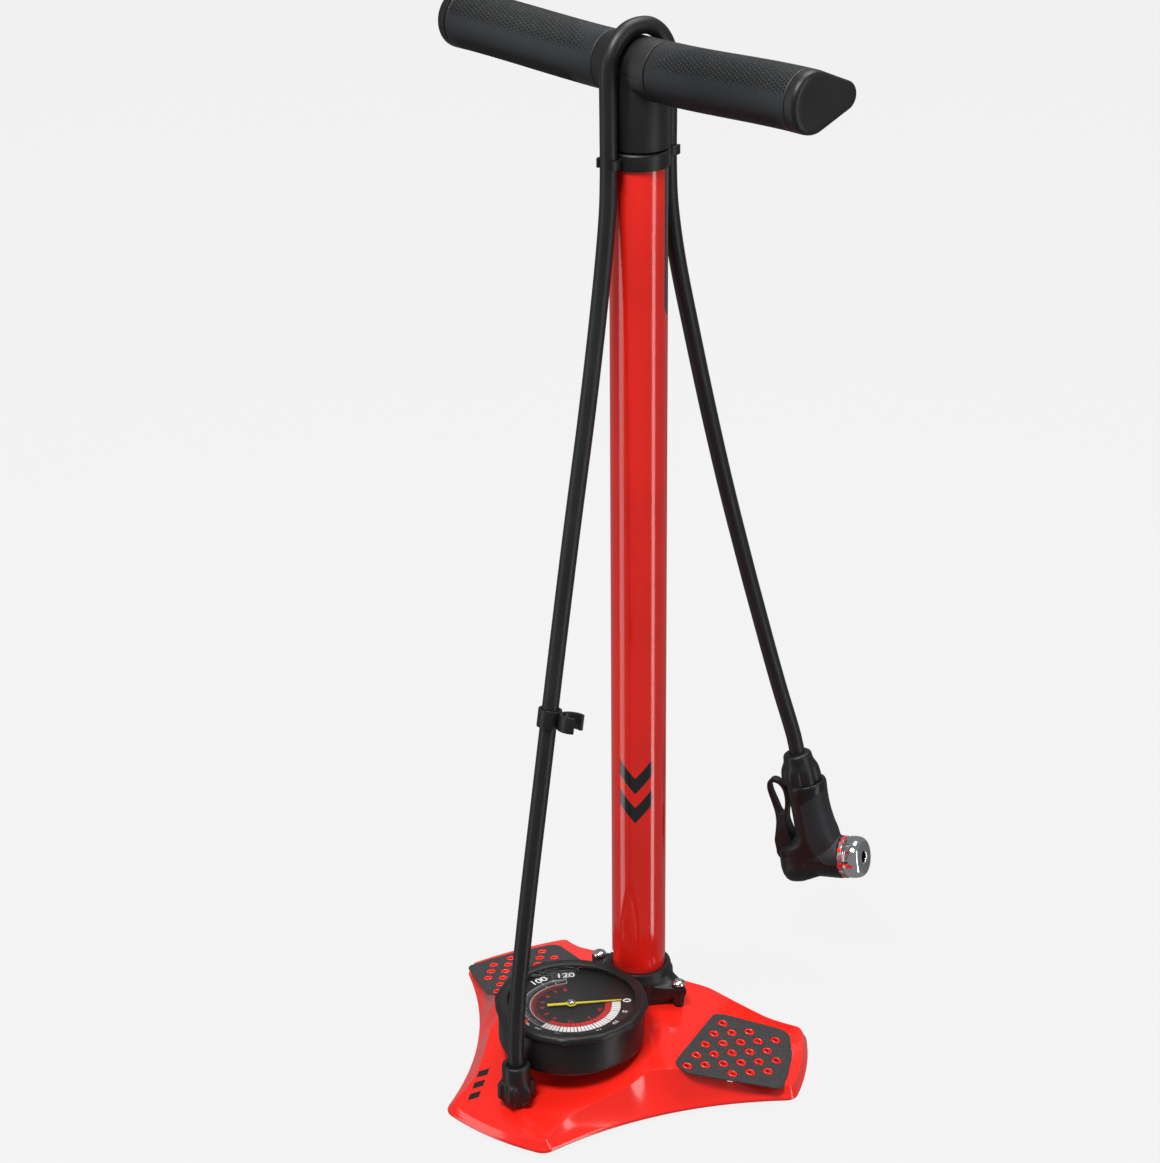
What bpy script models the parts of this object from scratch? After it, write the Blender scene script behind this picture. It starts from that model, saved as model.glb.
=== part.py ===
"""Floor pump for bicycle tyres: a star-shaped pressed base, a barrel with a
piston, a wide handle, a dial gauge and a hose that ends in a lever chuck.

Metres, +Z up. The barrel axis is vertical, the gauge side faces -Y and the
handle lies roughly along X. Every moving piece has its origin on its own axis.
"""
import math

import bmesh
import bpy
from mathutils import Matrix, Vector

# Driving dimensions, in metres, measured from the barrel axis and the floor.
GAP = 0.0003                 # running gap between touching pieces
CENTRE_SHIFT_Y = 0.0546      # puts the middle of the whole object at Y = 0
UPPER_TURN = math.radians(-10.0)   # cap, handle and hose clips are turned this far

BARREL_R = 0.0175
BARREL_WALL = 0.0015
BARREL_BOTTOM = 0.0407
BARREL_TOP = 0.5982
BARREL_IN = BARREL_R - BARREL_WALL

STAR_Y = -0.042              # centre of the three-footed star
FRONT_EDGE = -0.1555         # straight-line position of the front foot's edge
FRONT_HALF = 0.040
SIDE_NEAR = (0.134, -0.0155)
SIDE_FAR = (0.0986, 0.0523)
SIDE_ANGLE = math.radians(27.0)
SIDE_REACH = 0.131
FOOT_TOP = 0.0100            # height of the panels at the feet's outer edges
SIDE_SLOPE = 0.245
FRONT_SLOPE = 0.22
HUB_TOP = 0.0300
SHEET = 0.0018

GAUGE_Y = -0.0743
GAUGE_R = 0.0496
HOUSING_R = 0.0470
HOUSING_BOTTOM = 0.0310
DIAL_Z = 0.0550
NEEDLE_ANGLE = math.radians(43.4)
PINION_R = 0.0029
SECTOR_R = 0.0148

OUTLET_Y = -0.1325
HOSE_R = 0.0052
HOSE_BOTTOM = 0.0405
LEG_OFFSET = 0.0245          # hose legs from the stem axis
LOOP_TOP = 0.6743

STEM_R = 0.0184
STEM_BOTTOM = 0.6033
HANDLE_Z = 0.6505
HANDLE_R = 0.0180
HUB_HALF = 0.0212
GRIP_END = 0.1390
CAP_END = 0.1470
CORE_R = 0.0070
CORE_Z = 0.6520

CAP_R = 0.0189
CAP_BOTTOM = 0.5925
CAP_TOP = 0.6025
ROD_R = 0.0050
ROD_TOP = 0.6400

# Chuck frame: origin at the middle of its nut's top face.
CHUCK_AT = (0.0300, 0.1425, 0.1556)
CHUCK_TURN = math.radians(11.0)
CHUCK_TIP = math.radians(12.0)
NOZZLE_Z = -0.0784
LEVER_PIVOT = (-0.0193, -0.0725)
LEVER_ROOT_R = 0.0075


def clear_scene():
    for obj in list(bpy.data.objects):
        bpy.data.objects.remove(obj, do_unlink=True)


def material(name, colour, roughness, metallic=0.0):
    made = bpy.data.materials.new(name)
    made.use_nodes = True
    shader = made.node_tree.nodes["Principled BSDF"]
    shader.inputs["Base Color"].default_value = (*colour, 1.0)
    shader.inputs["Roughness"].default_value = roughness
    shader.inputs["Metallic"].default_value = metallic
    return made


def empty(name, parent=None, location=(0, 0, 0), rotation=None):
    made = bpy.data.objects.new(name, None)
    bpy.context.scene.collection.objects.link(made)
    made.parent = parent
    made.location = location
    if rotation is not None:
        made.rotation_euler = rotation.to_euler()
    return made


def add_object(name, bm, look, parent, origin=(0, 0, 0), smooth=40.0):
    """Turns a bmesh drawn in its parent's frame into an object at this origin."""
    bmesh.ops.remove_doubles(bm, verts=bm.verts, dist=1e-6)
    bmesh.ops.recalc_face_normals(bm, faces=bm.faces)
    bmesh.ops.translate(bm, verts=bm.verts, vec=-Vector(origin))
    data = bpy.data.meshes.new(name)
    for face in bm.faces:
        face.smooth = smooth > 0
    if smooth > 0:
        limit = math.radians(smooth)
        for edge in bm.edges:
            if len(edge.link_faces) == 2:
                edge.smooth = edge.calc_face_angle(0.0) < limit
    bm.to_mesh(data)
    bm.free()
    made = bpy.data.objects.new(name, data)
    bpy.context.scene.collection.objects.link(made)
    made.parent = parent
    made.location = origin
    data.materials.append(look)
    return made


def lathe(profile, steps, centre=(0, 0, 0), axis="Z", closed=True):
    """Spins (radius, height) points into a body; open profiles start and end on the axis."""
    bm = bmesh.new()
    verts = [bm.verts.new((r, 0.0, z)) for r, z in profile]
    pairs = list(zip(verts, verts[1:]))
    if closed:
        pairs.append((verts[-1], verts[0]))
    edges = [bm.edges.new(pair) for pair in pairs]
    bmesh.ops.spin(
        bm, geom=verts + edges, cent=(0, 0, 0), axis=(0, 0, 1),
        angle=2 * math.pi, steps=steps, use_merge=True,
    )
    bmesh.ops.remove_doubles(bm, verts=bm.verts, dist=1e-7)
    turn = {
        "Z": Matrix.Identity(3),
        "X": Matrix.Rotation(math.radians(90), 3, "Y"),
        "Y": Matrix.Rotation(math.radians(-90), 3, "X"),
    }[axis]
    bmesh.ops.rotate(bm, verts=bm.verts, cent=(0, 0, 0), matrix=turn)
    bmesh.ops.translate(bm, verts=bm.verts, vec=centre)
    bmesh.ops.recalc_face_normals(bm, faces=bm.faces)
    return bm


def skin(rings, close_first=True, close_last=True, loop=False):
    """Quads between rings of equal point count; the ends are filled or joined up."""
    bm = bmesh.new()
    rows = [[bm.verts.new(p) for p in ring] for ring in rings]
    count = len(rows[0])
    follow = rows[1:] + ([rows[0]] if loop else [])
    for lower, upper in zip(rows, follow):
        for i in range(count):
            j = (i + 1) % count
            bm.faces.new((lower[i], lower[j], upper[j], upper[i]))
    if not loop:
        if close_first:
            bm.faces.new(rows[0][::-1])
        if close_last:
            bm.faces.new(rows[-1])
    bmesh.ops.recalc_face_normals(bm, faces=bm.faces)
    return bm


def prism(outline, low, high, plane="XY"):
    """Extrudes a flat outline; the plane XZ extrudes along Y."""
    bm = bmesh.new()
    if plane == "XY":
        verts = [bm.verts.new((a, b, low)) for a, b in outline]
        step = (0, 0, high - low)
    else:
        verts = [bm.verts.new((a, low, b)) for a, b in outline]
        step = (0, high - low, 0)
    face = bm.faces.new(verts)
    grown = bmesh.ops.extrude_face_region(bm, geom=[face])
    moved = [item for item in grown["geom"] if isinstance(item, bmesh.types.BMVert)]
    bmesh.ops.translate(bm, verts=moved, vec=step)
    bmesh.ops.recalc_face_normals(bm, faces=bm.faces)
    return bm


def circle(radius, count, centre=(0.0, 0.0), start=0.0):
    cx, cy = centre
    turns = (start + 2 * math.pi * i / count for i in range(count))
    return [(cx + radius * math.cos(a), cy + radius * math.sin(a)) for a in turns]


def arc(radius, first, last, count, centre=(0.0, 0.0)):
    cx, cy = centre
    step = (last - first) / (count - 1)
    turns = (first + step * i for i in range(count))
    return [(cx + radius * math.cos(a), cy + radius * math.sin(a)) for a in turns]


def boolean(target, other, operation):
    other.hide_render = True
    other.display_type = "WIRE"
    change = target.modifiers.new(operation.lower(), "BOOLEAN")
    change.operation = operation
    change.solver = "EXACT"
    change.object = other


def cut(target, bm, parent):
    boolean(target, add_object("cutter_" + target.name, bm, steel, parent), "DIFFERENCE")


def join(target, bm, parent):
    boolean(target, add_object("addition_" + target.name, bm, steel, parent), "UNION")


def bent_tube(name, points, radius, look, parent, resolution=2):
    curve = bpy.data.curves.new(name, "CURVE")
    curve.dimensions = "3D"
    curve.bevel_depth = radius
    curve.bevel_resolution = resolution
    curve.use_fill_caps = True
    spline = curve.splines.new("POLY")
    spline.points.add(len(points) - 1)
    for item, place in zip(spline.points, points):
        item.co = (*place, 1.0)
    curve.materials.append(look)
    made = bpy.data.objects.new(name, curve)
    bpy.context.scene.collection.objects.link(made)
    made.parent = parent
    return made


def smooth_step(value):
    value = min(max(value, 0.0), 1.0)
    return value * value * (3 - 2 * value)


clear_scene()
red = material("red_paint", (0.62, 0.012, 0.010), 0.22)
black = material("black_plastic", (0.028, 0.029, 0.031), 0.42)
rubber = material("black_rubber", (0.022, 0.022, 0.024), 0.60)
grip_rubber = material("grip_rubber", (0.035, 0.036, 0.039), 0.55)
grit = material("grit_sheet", (0.030, 0.030, 0.032), 0.90)
steel = material("steel", (0.55, 0.55, 0.56), 0.25, 1.0)
chrome = material("chrome", (0.80, 0.81, 0.82), 0.08, 1.0)
brass = material("brass", (0.62, 0.44, 0.18), 0.30, 1.0)
clear = material("clear_lens", (0.75, 0.77, 0.78), 0.05)
dial_black = material("dial_black", (0.020, 0.020, 0.021), 0.50)
yellow = material("needle_yellow", (0.80, 0.66, 0.05), 0.40)
marker_red = material("marker_red", (0.60, 0.02, 0.02), 0.40)

whole = empty("pump_frame", None, (0, CENTRE_SHIFT_Y, 0))
upper = empty("upper_frame", whole, (0, 0, 0), Matrix.Rotation(UPPER_TURN, 3, "Z"))


# ---------------------------------------------------------------- base plate
def panel_height(x, y):
    """Top of the sheet: a flat hub, a front panel and two side panels, softly joined."""
    reach = abs(x) * math.cos(SIDE_ANGLE) + (y - STAR_Y) * math.sin(SIDE_ANGLE)
    side = FOOT_TOP + SIDE_SLOPE * (SIDE_REACH - reach)
    front = FOOT_TOP + FRONT_SLOPE * (y + 0.150)
    planes = (side, front, HUB_TOP)
    lowest = min(planes)
    softness = 0.0008
    total = sum(math.exp((lowest - plane) / softness) for plane in planes)
    return lowest - softness * math.log(total)


def star_outline():
    """The plan outline, counter-clockwise, with short rounded corners."""
    near, far = Vector(SIDE_NEAR), Vector(SIDE_FAR)
    corner = Vector((FRONT_HALF, FRONT_EDGE))

    def mirrored(point):
        return Vector((-point.x, point.y))

    corners = [mirrored(corner), corner, near, far, mirrored(far), mirrored(near)]
    # Bulge of each side outwards, and the number of points along it.
    sides = [(0.005, 7), (-0.0145, 12), (0.004, 6), (-0.0098, 12), (0.004, 6), (-0.0145, 12)]
    rounding = 0.006
    runs = []
    for start, end, (bulge, count) in zip(corners, corners[1:] + corners[:1], sides):
        chord = end - start
        outward = Vector((chord.y, -chord.x)).normalized()
        first = rounding / chord.length
        run = []
        for i in range(count):
            t = first + (1 - 2 * first) * i / (count - 1)
            run.append(start + chord * t + outward * bulge * 4 * t * (1 - t))
        runs.append(run)
    outline = []
    for index, run in enumerate(runs):
        outline += run
        bend = corners[(index + 1) % len(corners)]
        following = runs[(index + 1) % len(runs)][0]
        for t in (1 / 3, 2 / 3):
            outline.append(run[-1] * (1 - t) ** 2 + bend * 2 * t * (1 - t) + following * t * t)
    return outline


def inward(outline):
    """Unit vectors pointing into the plate at each outline point."""
    found = []
    for i, point in enumerate(outline):
        along = outline[(i + 1) % len(outline)] - outline[i - 1]
        found.append(Vector((-along.y, along.x)).normalized())
    return found


def base_rings():
    outline = star_outline()
    normals = inward(outline)
    middle = Vector((0.0, -0.035))
    rim = []
    for inset, height in ((0.0012, 0.0022), (0.0, 0.0034), (0.0005, 0.0050)):
        rim.append([(*(p + n * inset), height) for p, n in zip(outline, normals)])
    crease = []
    for p, n in zip(outline, normals):
        deep = 0.0030
        reach = abs(p.x) * math.cos(SIDE_ANGLE) + (p.y - STAR_Y) * math.sin(SIDE_ANGLE)
        from_feet = min(SIDE_REACH + 0.004 - reach, p.y - FRONT_EDGE + 0.004)
        deep += 0.0070 * smooth_step(from_feet / 0.030)
        crease.append(p + n * deep)
    rings = list(rim)
    rings.append([(*c, panel_height(*c) - 0.0006) for c in crease])
    for share in (0.10, 0.30, 0.52, 0.74, 0.90):
        ring = [c.lerp(middle, share) for c in crease]
        rings.append([(*c, panel_height(*c)) for c in ring])
    return rings


base_bm = skin(base_rings(), close_first=False, close_last=True)
base = add_object("base_plate", base_bm, red, whole, smooth=35)
sheet = base.modifiers.new("sheet", "SOLIDIFY")
sheet.thickness = SHEET
sheet.offset = -1.0
sheet.use_even_offset = True


def post(radius, low, high, x=0.0, y=0.0, steps=16):
    return lathe([(0, low), (radius, low), (radius, high), (0, high)], steps,
                 (x, y, 0), closed=False)


SCREW_X = 0.0320
cut(base, post(0.0076, 0.02, 0.05, 0, 0, 20), whole)
cut(base, post(0.0050, 0.01, 0.05, 0, GAUGE_Y), whole)
cut(base, post(0.0052, 0.00, 0.04, 0, OUTLET_Y), whole)
for side in (-1, 1):
    cut(base, post(0.0022, 0.01, 0.06, side * SCREW_X, 0, 12), whole)

FEET = (
    ("rubber_foot_front_right", 0.0280, -0.1450),
    ("rubber_foot_front_left", -0.0280, -0.1450),
    ("rubber_foot_right", 0.0990, 0.0190),
    ("rubber_foot_left", -0.0990, 0.0190),
)
for foot_name, foot_x, foot_y in FEET:
    stud_top = panel_height(foot_x, foot_y) - SHEET - 0.0012
    foot = lathe(
        [(0, 0), (0.0080, 0), (0.0090, 0.0010), (0.0090, 0.0040), (0.0080, 0.0050),
         (0.0032, 0.0050), (0.0030, stud_top), (0, stud_top)],
        16, (foot_x, foot_y, 0), closed=False,
    )
    add_object(foot_name, foot, rubber, whole, (foot_x, foot_y, 0))


# ---------------------------------------------------------------- grip pads
PAD_STEP_A = Vector((0.0107, 0.0069))
PAD_STEP_B = Vector((-0.0039, -0.0147))
PAD_FIRST = Vector((0.0782, 0.0134))
PAD_ROWS = ((0, 1), (0, 3), (0, 5), (0, 5), (0, 6), (3, 6))
PAD_HOLE_R = 0.0036
PAD_OUTLINE = (
    (0.0545, -0.0440), (0.0575, -0.0495), (0.0640, -0.0530), (0.1195, -0.0415),
    (0.1230, -0.0385), (0.1250, -0.0225), (0.1252, 0.0005), (0.1215, 0.0215),
    (0.1185, 0.0252), (0.1140, 0.0262), (0.0765, 0.0240), (0.0710, 0.0205),
)


def pad_holes():
    """Centres of the holes, as distance along the foot and across it."""
    found = []
    for row, (start, end) in enumerate(PAD_ROWS):
        for column in range(start, end):
            found.append(PAD_FIRST + PAD_STEP_A * column + PAD_STEP_B * row)
    return found


def pad_body(side):
    """A thin sheet with its holes, lying on the foot's sloping panel."""
    bm = bmesh.new()
    loops = [[Vector(p) for p in PAD_OUTLINE]]
    loops += [[Vector(p) for p in circle(PAD_HOLE_R, 7, tuple(c))] for c in pad_holes()]
    for loop in loops:
        verts = [bm.verts.new((*p, 0.0)) for p in loop]
        for a, b in zip(verts, verts[1:] + verts[:1]):
            bm.edges.new((a, b))
    bmesh.ops.triangle_fill(bm, use_beauty=True, use_dissolve=False, edges=bm.edges)
    flat = list(bm.faces)
    grown = bmesh.ops.extrude_face_region(bm, geom=flat)
    raised = [item for item in grown["geom"] if isinstance(item, bmesh.types.BMVert)]
    bmesh.ops.translate(bm, verts=raised, vec=(0, 0, 0.0008))
    for vert in bm.verts:
        along, across, lift = vert.co
        x = along * math.cos(SIDE_ANGLE) - across * math.sin(SIDE_ANGLE)
        y = along * math.sin(SIDE_ANGLE) + across * math.cos(SIDE_ANGLE) + STAR_Y
        plane = FOOT_TOP + SIDE_SLOPE * (SIDE_REACH - along)
        vert.co = (side * x, y, plane + GAP + lift)
    return bm


for side, pad_name in ((1, "grip_pad_right"), (-1, "grip_pad_left")):
    add_object(pad_name, pad_body(side), grit, whole, smooth=0)


# ---------------------------------------------------------------- barrel foot
def collar_rings():
    """Black socket with two arms; each ring has the same number of points."""
    count = 40
    turns = [2 * math.pi * i / count for i in range(count)]

    def lobe(angle):
        away = min(abs(math.sin(angle)) / math.sin(math.radians(34)), 1.0)
        return (1 - away) ** 1.4 if math.cos(angle) ** 2 > 0.5 else 0.0

    def ring(radius, height):
        return [(radius * math.cos(a), radius * math.sin(a), height) for a in turns]

    def star(scale, height, drape=False):
        points = []
        for a in turns:
            radius = 0.0226 + 0.0158 * lobe(a) * scale
            x, y = radius * math.cos(a), radius * math.sin(a)
            points.append((x, y, panel_height(x, y) + 0.0006 if drape else height))
        return points

    return [
        ring(0.0076, 0.0308), ring(0.0200, 0.0308), star(1.0, 0.0, True),
        star(1.0, 0.0432), star(0.94, 0.0440), star(0.30, 0.0450),
        ring(0.0219, 0.0470), ring(0.0208, 0.0526), ring(BARREL_R + GAP, 0.0526),
        ring(BARREL_R + GAP, 0.0403), ring(0.0076, 0.0403),
    ]


collar = add_object("barrel_collar", skin(collar_rings(), loop=True), black, whole, smooth=50)
for side in (-1, 1):
    cut(collar, post(0.0022, 0.02, 0.06, side * SCREW_X, 0, 12), whole)

for side, screw_name in ((1, "collar_screw_right"), (-1, "collar_screw_left")):
    screw = lathe(
        [(0, 0.0215), (0.0018, 0.0215), (0.0018, 0.0453), (0.0046, 0.0453),
         (0.0046, 0.0462), (0.0034, 0.0476), (0, 0.0483)],
        14, (side * SCREW_X, 0, 0), closed=False,
    )
    add_object(screw_name, screw, chrome, whole, (side * SCREW_X, 0, 0))

barrel = lathe(
    [(BARREL_IN, BARREL_BOTTOM), (BARREL_R, BARREL_BOTTOM), (BARREL_R, BARREL_TOP),
     (BARREL_IN, BARREL_TOP)], 36,
)
add_object("barrel_tube", barrel, red, whole)

seat = lathe(
    [(0.0022, 0.0384), (0.0072, 0.0384), (0.0072, 0.0407), (0.0157, 0.0407), (0.0157, 0.0425),
     (0.0143, 0.0425), (0.0143, 0.0449), (0.0157, 0.0449), (0.0157, 0.0467), (0.0022, 0.0467)],
    18,
)
add_object("check_valve_seat", seat, brass, whole)
seal = lathe([(0.0146, 0.0428), (0.0157, 0.0430), (0.0157, 0.0444), (0.0146, 0.0446)], 18)
add_object("barrel_seal", seal, rubber, whole)

disc = lathe([(0, 0.0364), (0.0045, 0.0364), (0.0045, 0.0380), (0, 0.0380)], 12, closed=False)
add_object("check_valve_disc", disc, rubber, whole, (0, 0, 0.0364))
valve_body = lathe(
    [(0, 0.0205), (0.0100, 0.0205), (0.0110, 0.0215), (0.0110, 0.0274), (0.0071, 0.0274),
     (0.0071, 0.0378), (0.0053, 0.0378), (0.0053, 0.0275), (0, 0.0275)],
    16, closed=False,
)
add_object("valve_body", valve_body, brass, whole)

SPRING_LOW = 0.0279
SPRING_HIGH = 0.0360
coil = []
for i in range(33):
    turn = 4 * 2 * math.pi * i / 32
    rise = SPRING_LOW + 0.0004 + (SPRING_HIGH - SPRING_LOW - 0.0008) * i / 32
    coil.append((0.0038 * math.cos(turn), 0.0038 * math.sin(turn), rise))
bent_tube("check_valve_spring", coil, 0.00035, steel, whole, 0)

duct = [(0, -0.0114, 0.0240), (0, -0.0220, 0.0234), (0, -0.0350, 0.0212), (0, -0.0550, 0.0170),
        (0, -0.0743, 0.0136), (0, -0.0950, 0.0102), (0, -0.1120, 0.0074), (0, -0.1236, 0.0064)]
bent_tube("air_duct", duct, 0.0028, brass, whole, 1)


# ---------------------------------------------------------------- hose outlet
outlet = lathe(
    [(0, 0.0030), (0.0085, 0.0030), (0.0085, 0.0090), (0.0045, 0.0096), (0.0045, 0.0340),
     (0.0034, 0.0350), (0.0034, HOSE_BOTTOM - GAP), (0, HOSE_BOTTOM - GAP)],
    14, (0, OUTLET_Y, 0), closed=False,
)
add_object("outlet_fitting", outlet, brass, whole, (0, OUTLET_Y, 0))


def nut_rings():
    """Hand nut: a smooth neck over six soft lobes."""
    count = 30
    turns = [2 * math.pi * i / count for i in range(count)]

    def ring(radius, height, lobes=0.0):
        points = []
        for a in turns:
            r = radius + lobes * math.cos(6 * a + 1.2)
            points.append((r * math.cos(a), r * math.sin(a) + OUTLET_Y, height))
        return points

    return [
        ring(0.0049, 0.0176), ring(0.0090, 0.0176, 0.0008), ring(0.0106, 0.0188, 0.0016),
        ring(0.0106, 0.0285, 0.0016), ring(0.0094, 0.0306, 0.0006), ring(0.0090, 0.0322),
        ring(0.0090, 0.0412), ring(0.0082, 0.0424), ring(0.0056, 0.0424), ring(0.0056, 0.0370),
        ring(0.0049, 0.0360),
    ]


add_object("hose_nut", skin(nut_rings(), loop=True), black, whole, (0, OUTLET_Y, 0), smooth=50)


# ---------------------------------------------------------------- gauge
GAUGE = (0, GAUGE_Y, 0)
housing = lathe(
    [(0.0049, HOUSING_BOTTOM), (0.0440, HOUSING_BOTTOM), (0.0462, 0.0322), (HOUSING_R, 0.0345),
     (HOUSING_R, 0.0557), (0.0450, 0.0557), (0.0450, 0.0543), (0.0436, 0.0543),
     (0.0436, 0.0345), (0.0420, 0.0334), (0.0049, 0.0334)],
    36, GAUGE,
)
add_object("gauge_housing", housing, black, whole, GAUGE)
stem = lathe(
    [(0, 0.0184), (0.0046, 0.0184), (0.0046, 0.0337), (0.0075, 0.0337), (0.0075, 0.0386),
     (0, 0.0386)], 20, GAUGE, closed=False,
)
add_object("gauge_stem", stem, brass, whole, GAUGE)

bourdon = [(0.0078 + GAP, GAUGE_Y, 0.0362), (0.0140, GAUGE_Y - 0.0020, 0.0370)]
for x, y in arc(0.0320, math.radians(-50), math.radians(-285), 18, (0, GAUGE_Y)):
    bourdon.append((x, y, 0.0400))
bourdon.insert(2, (0.0190, GAUGE_Y - 0.0120, 0.0390))
bent_tube("bourdon_tube", bourdon, 0.0022, brass, whole, 1)

PIVOT_X = -(PINION_R + SECTOR_R + GAP)
plate_outline = [(-0.026, -0.010), (0.011, -0.010), (0.011, 0.010), (-0.026, 0.010)]
plate = prism([(x, y + GAUGE_Y) for x, y in plate_outline], 0.0390, 0.0400)
movement = add_object("movement_plate", plate, brass, whole, smooth=0)
cut(movement, post(0.0013, 0.03, 0.05, 0, GAUGE_Y, 12), whole)
cut(movement, post(0.0015, 0.03, 0.05, PIVOT_X, GAUGE_Y, 12), whole)

spindle = lathe(
    [(0, 0.0389), (0.0010, 0.0389), (0.0010, 0.0428), (PINION_R, 0.0428), (PINION_R, 0.0450),
     (0.0010, 0.0450), (0.0010, 0.0572), (0, 0.0572)], 14, GAUGE, closed=False,
)
add_object("needle_spindle", spindle, brass, whole, GAUGE)

sector_points = arc(SECTOR_R, math.radians(-62), math.radians(10), 13)
sector_points += arc(0.0030, math.radians(44), math.radians(264), 7)
sector_points = [(x + PIVOT_X, y + GAUGE_Y) for x, y in sector_points]
sector = add_object("sector_gear", prism(sector_points, 0.0432, 0.0446), brass, whole,
                    (PIVOT_X, GAUGE_Y, 0), smooth=0)
join(sector, post(0.0012, 0.0392, 0.0460, PIVOT_X, GAUGE_Y, 12), whole)

dial = lathe([(0.0022, 0.0546), (0.0446, 0.0546), (0.0446, DIAL_Z + 0.0002),
              (0.0022, DIAL_Z + 0.0002)], 36, GAUGE)
add_object("dial_plate", dial, dial_black, whole, GAUGE)


def needle_outline():
    """Broad tail, round boss and a long taper, pointing along +X."""
    points = [(-0.0155, -0.0011), (-0.0032, -0.0011)]
    points += arc(0.0034, math.radians(205), math.radians(345), 6)
    points += [(0.0325, -0.0003), (0.0325, 0.0003)]
    points += arc(0.0034, math.radians(15), math.radians(155), 6)
    points += [(-0.0032, 0.0011), (-0.0155, 0.0011)]
    return points


needle_turn = Matrix.Rotation(NEEDLE_ANGLE, 2)
needle_points = [needle_turn @ Vector(p) for p in needle_outline()]
needle_points = [(p.x, p.y + GAUGE_Y) for p in needle_points]
needle = add_object("gauge_needle", prism(needle_points, 0.0562, 0.0568), yellow, whole,
                    GAUGE, smooth=0)
cut(needle, post(0.0013, 0.05, 0.06, 0, GAUGE_Y, 12), whole)
hub = lathe([(0, 0.0575), (0.0027, 0.0575), (0.0027, 0.0583), (0.0018, 0.0587), (0, 0.0587)],
            20, GAUGE, closed=False)
add_object("needle_hub", hub, steel, whole, GAUGE)

bezel = lathe(
    [(0.0452, 0.0560), (0.0486, 0.0560), (GAUGE_R, 0.0568), (GAUGE_R, 0.0586), (0.0482, 0.0602),
     (0.0460, 0.0608), (0.0410, 0.0602), (0.0410, 0.0589), (0.0452, 0.0589)],
    36, GAUGE,
)
add_object("gauge_bezel", bezel, black, whole, GAUGE)
lens = lathe([(0, 0.0592), (0.0407, 0.0592), (0.0407, 0.0599), (0.0300, 0.0605), (0, 0.0608)],
             36, GAUGE, closed=False)
add_object("gauge_lens", lens, clear, whole, GAUGE)

MARKER_ANGLE = math.radians(-103.9)
marker_turn = Matrix.Rotation(MARKER_ANGLE, 2)
marker_points = [marker_turn @ Vector(p)
                 for p in ((0.0345, 0.0), (0.0400, -0.0030), (0.0400, 0.0030))]
marker_points = [(p.x, p.y + GAUGE_Y) for p in marker_points]
add_object("pressure_marker", prism(marker_points, 0.0583, 0.0588), marker_red, whole,
           GAUGE, smooth=0)


# ---------------------------------------------------------------- cap and clips
cap_profile = [
    (0.0080, 0.5802), (0.0157, 0.5802), (0.0157, BARREL_TOP + GAP),
    (BARREL_R + GAP, BARREL_TOP + GAP), (BARREL_R + GAP, CAP_BOTTOM), (CAP_R, CAP_BOTTOM),
    (CAP_R, CAP_TOP - 0.0010), (CAP_R - 0.0010, CAP_TOP), (0.0058, CAP_TOP),
    (0.0058, BARREL_TOP + GAP), (0.0080, BARREL_TOP + GAP),
]
cap = add_object("top_cap", lathe(cap_profile, 32), black, upper)
CLIP_LOW = 0.5945
CLIP_HIGH = 0.6003
for side in (-1, 1):
    opening = math.radians(58)
    facing = math.radians(90) * side
    outer = arc(0.0074, facing + opening, facing + 2 * math.pi - opening, 17,
                (0, side * LEG_OFFSET))
    inner = arc(HOSE_R + GAP, facing + 2 * math.pi - opening, facing + opening, 17,
                (0, side * LEG_OFFSET))
    join(cap, prism(outer + inner, CLIP_LOW, CLIP_HIGH), upper)
# The clips reach through the cap's wall, so the barrel's bore is cleared again.
cut(cap, lathe([(0.0159, 0.5903), (BARREL_R + GAP, 0.5903), (BARREL_R + GAP, BARREL_TOP + GAP),
                (0.0159, BARREL_TOP + GAP)], 32), upper)

bush = lathe([(ROD_R + GAP, 0.5806), (0.0077, 0.5806), (0.0077, 0.5980), (ROD_R + GAP, 0.5980)],
             24)
add_object("rod_bush", bush, brass, upper)


# ---------------------------------------------------------------- piston
BORE = ROD_R + GAP
rod = lathe([(0, 0.0640), (ROD_R, 0.0650), (ROD_R, ROD_TOP), (0, ROD_TOP)], 20, closed=False)
add_object("piston_rod", rod, steel, upper)
head = lathe([(BORE, 0.0746), (0.0150, 0.0746), (0.0155, 0.0755), (0.0155, 0.0860),
              (0.0150, 0.0866), (BORE, 0.0866)], 24)
add_object("piston_head", head, black, upper)
cup = lathe([(BORE, 0.0716), (0.0140, 0.0716), (0.0146, 0.0690), (0.0157, 0.0690),
             (0.0156, 0.0743), (BORE, 0.0743)], 24)
add_object("piston_cup", cup, rubber, upper)
HEX_BORE = BORE / math.cos(math.radians(30))
lock = lathe([(HEX_BORE, 0.0660), (0.0085, 0.0660), (0.0085, 0.0713), (HEX_BORE, 0.0713)], 6)
add_object("piston_nut", lock, steel, upper, smooth=0)
bumper = lathe([(BORE, 0.0869), (0.0095, 0.0869), (0.0100, 0.0880), (0.0085, 0.0918),
                (0.0100, 0.0956), (0.0095, 0.0966), (BORE, 0.0966)], 16)
add_object("top_out_bumper", bumper, rubber, upper)


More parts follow.
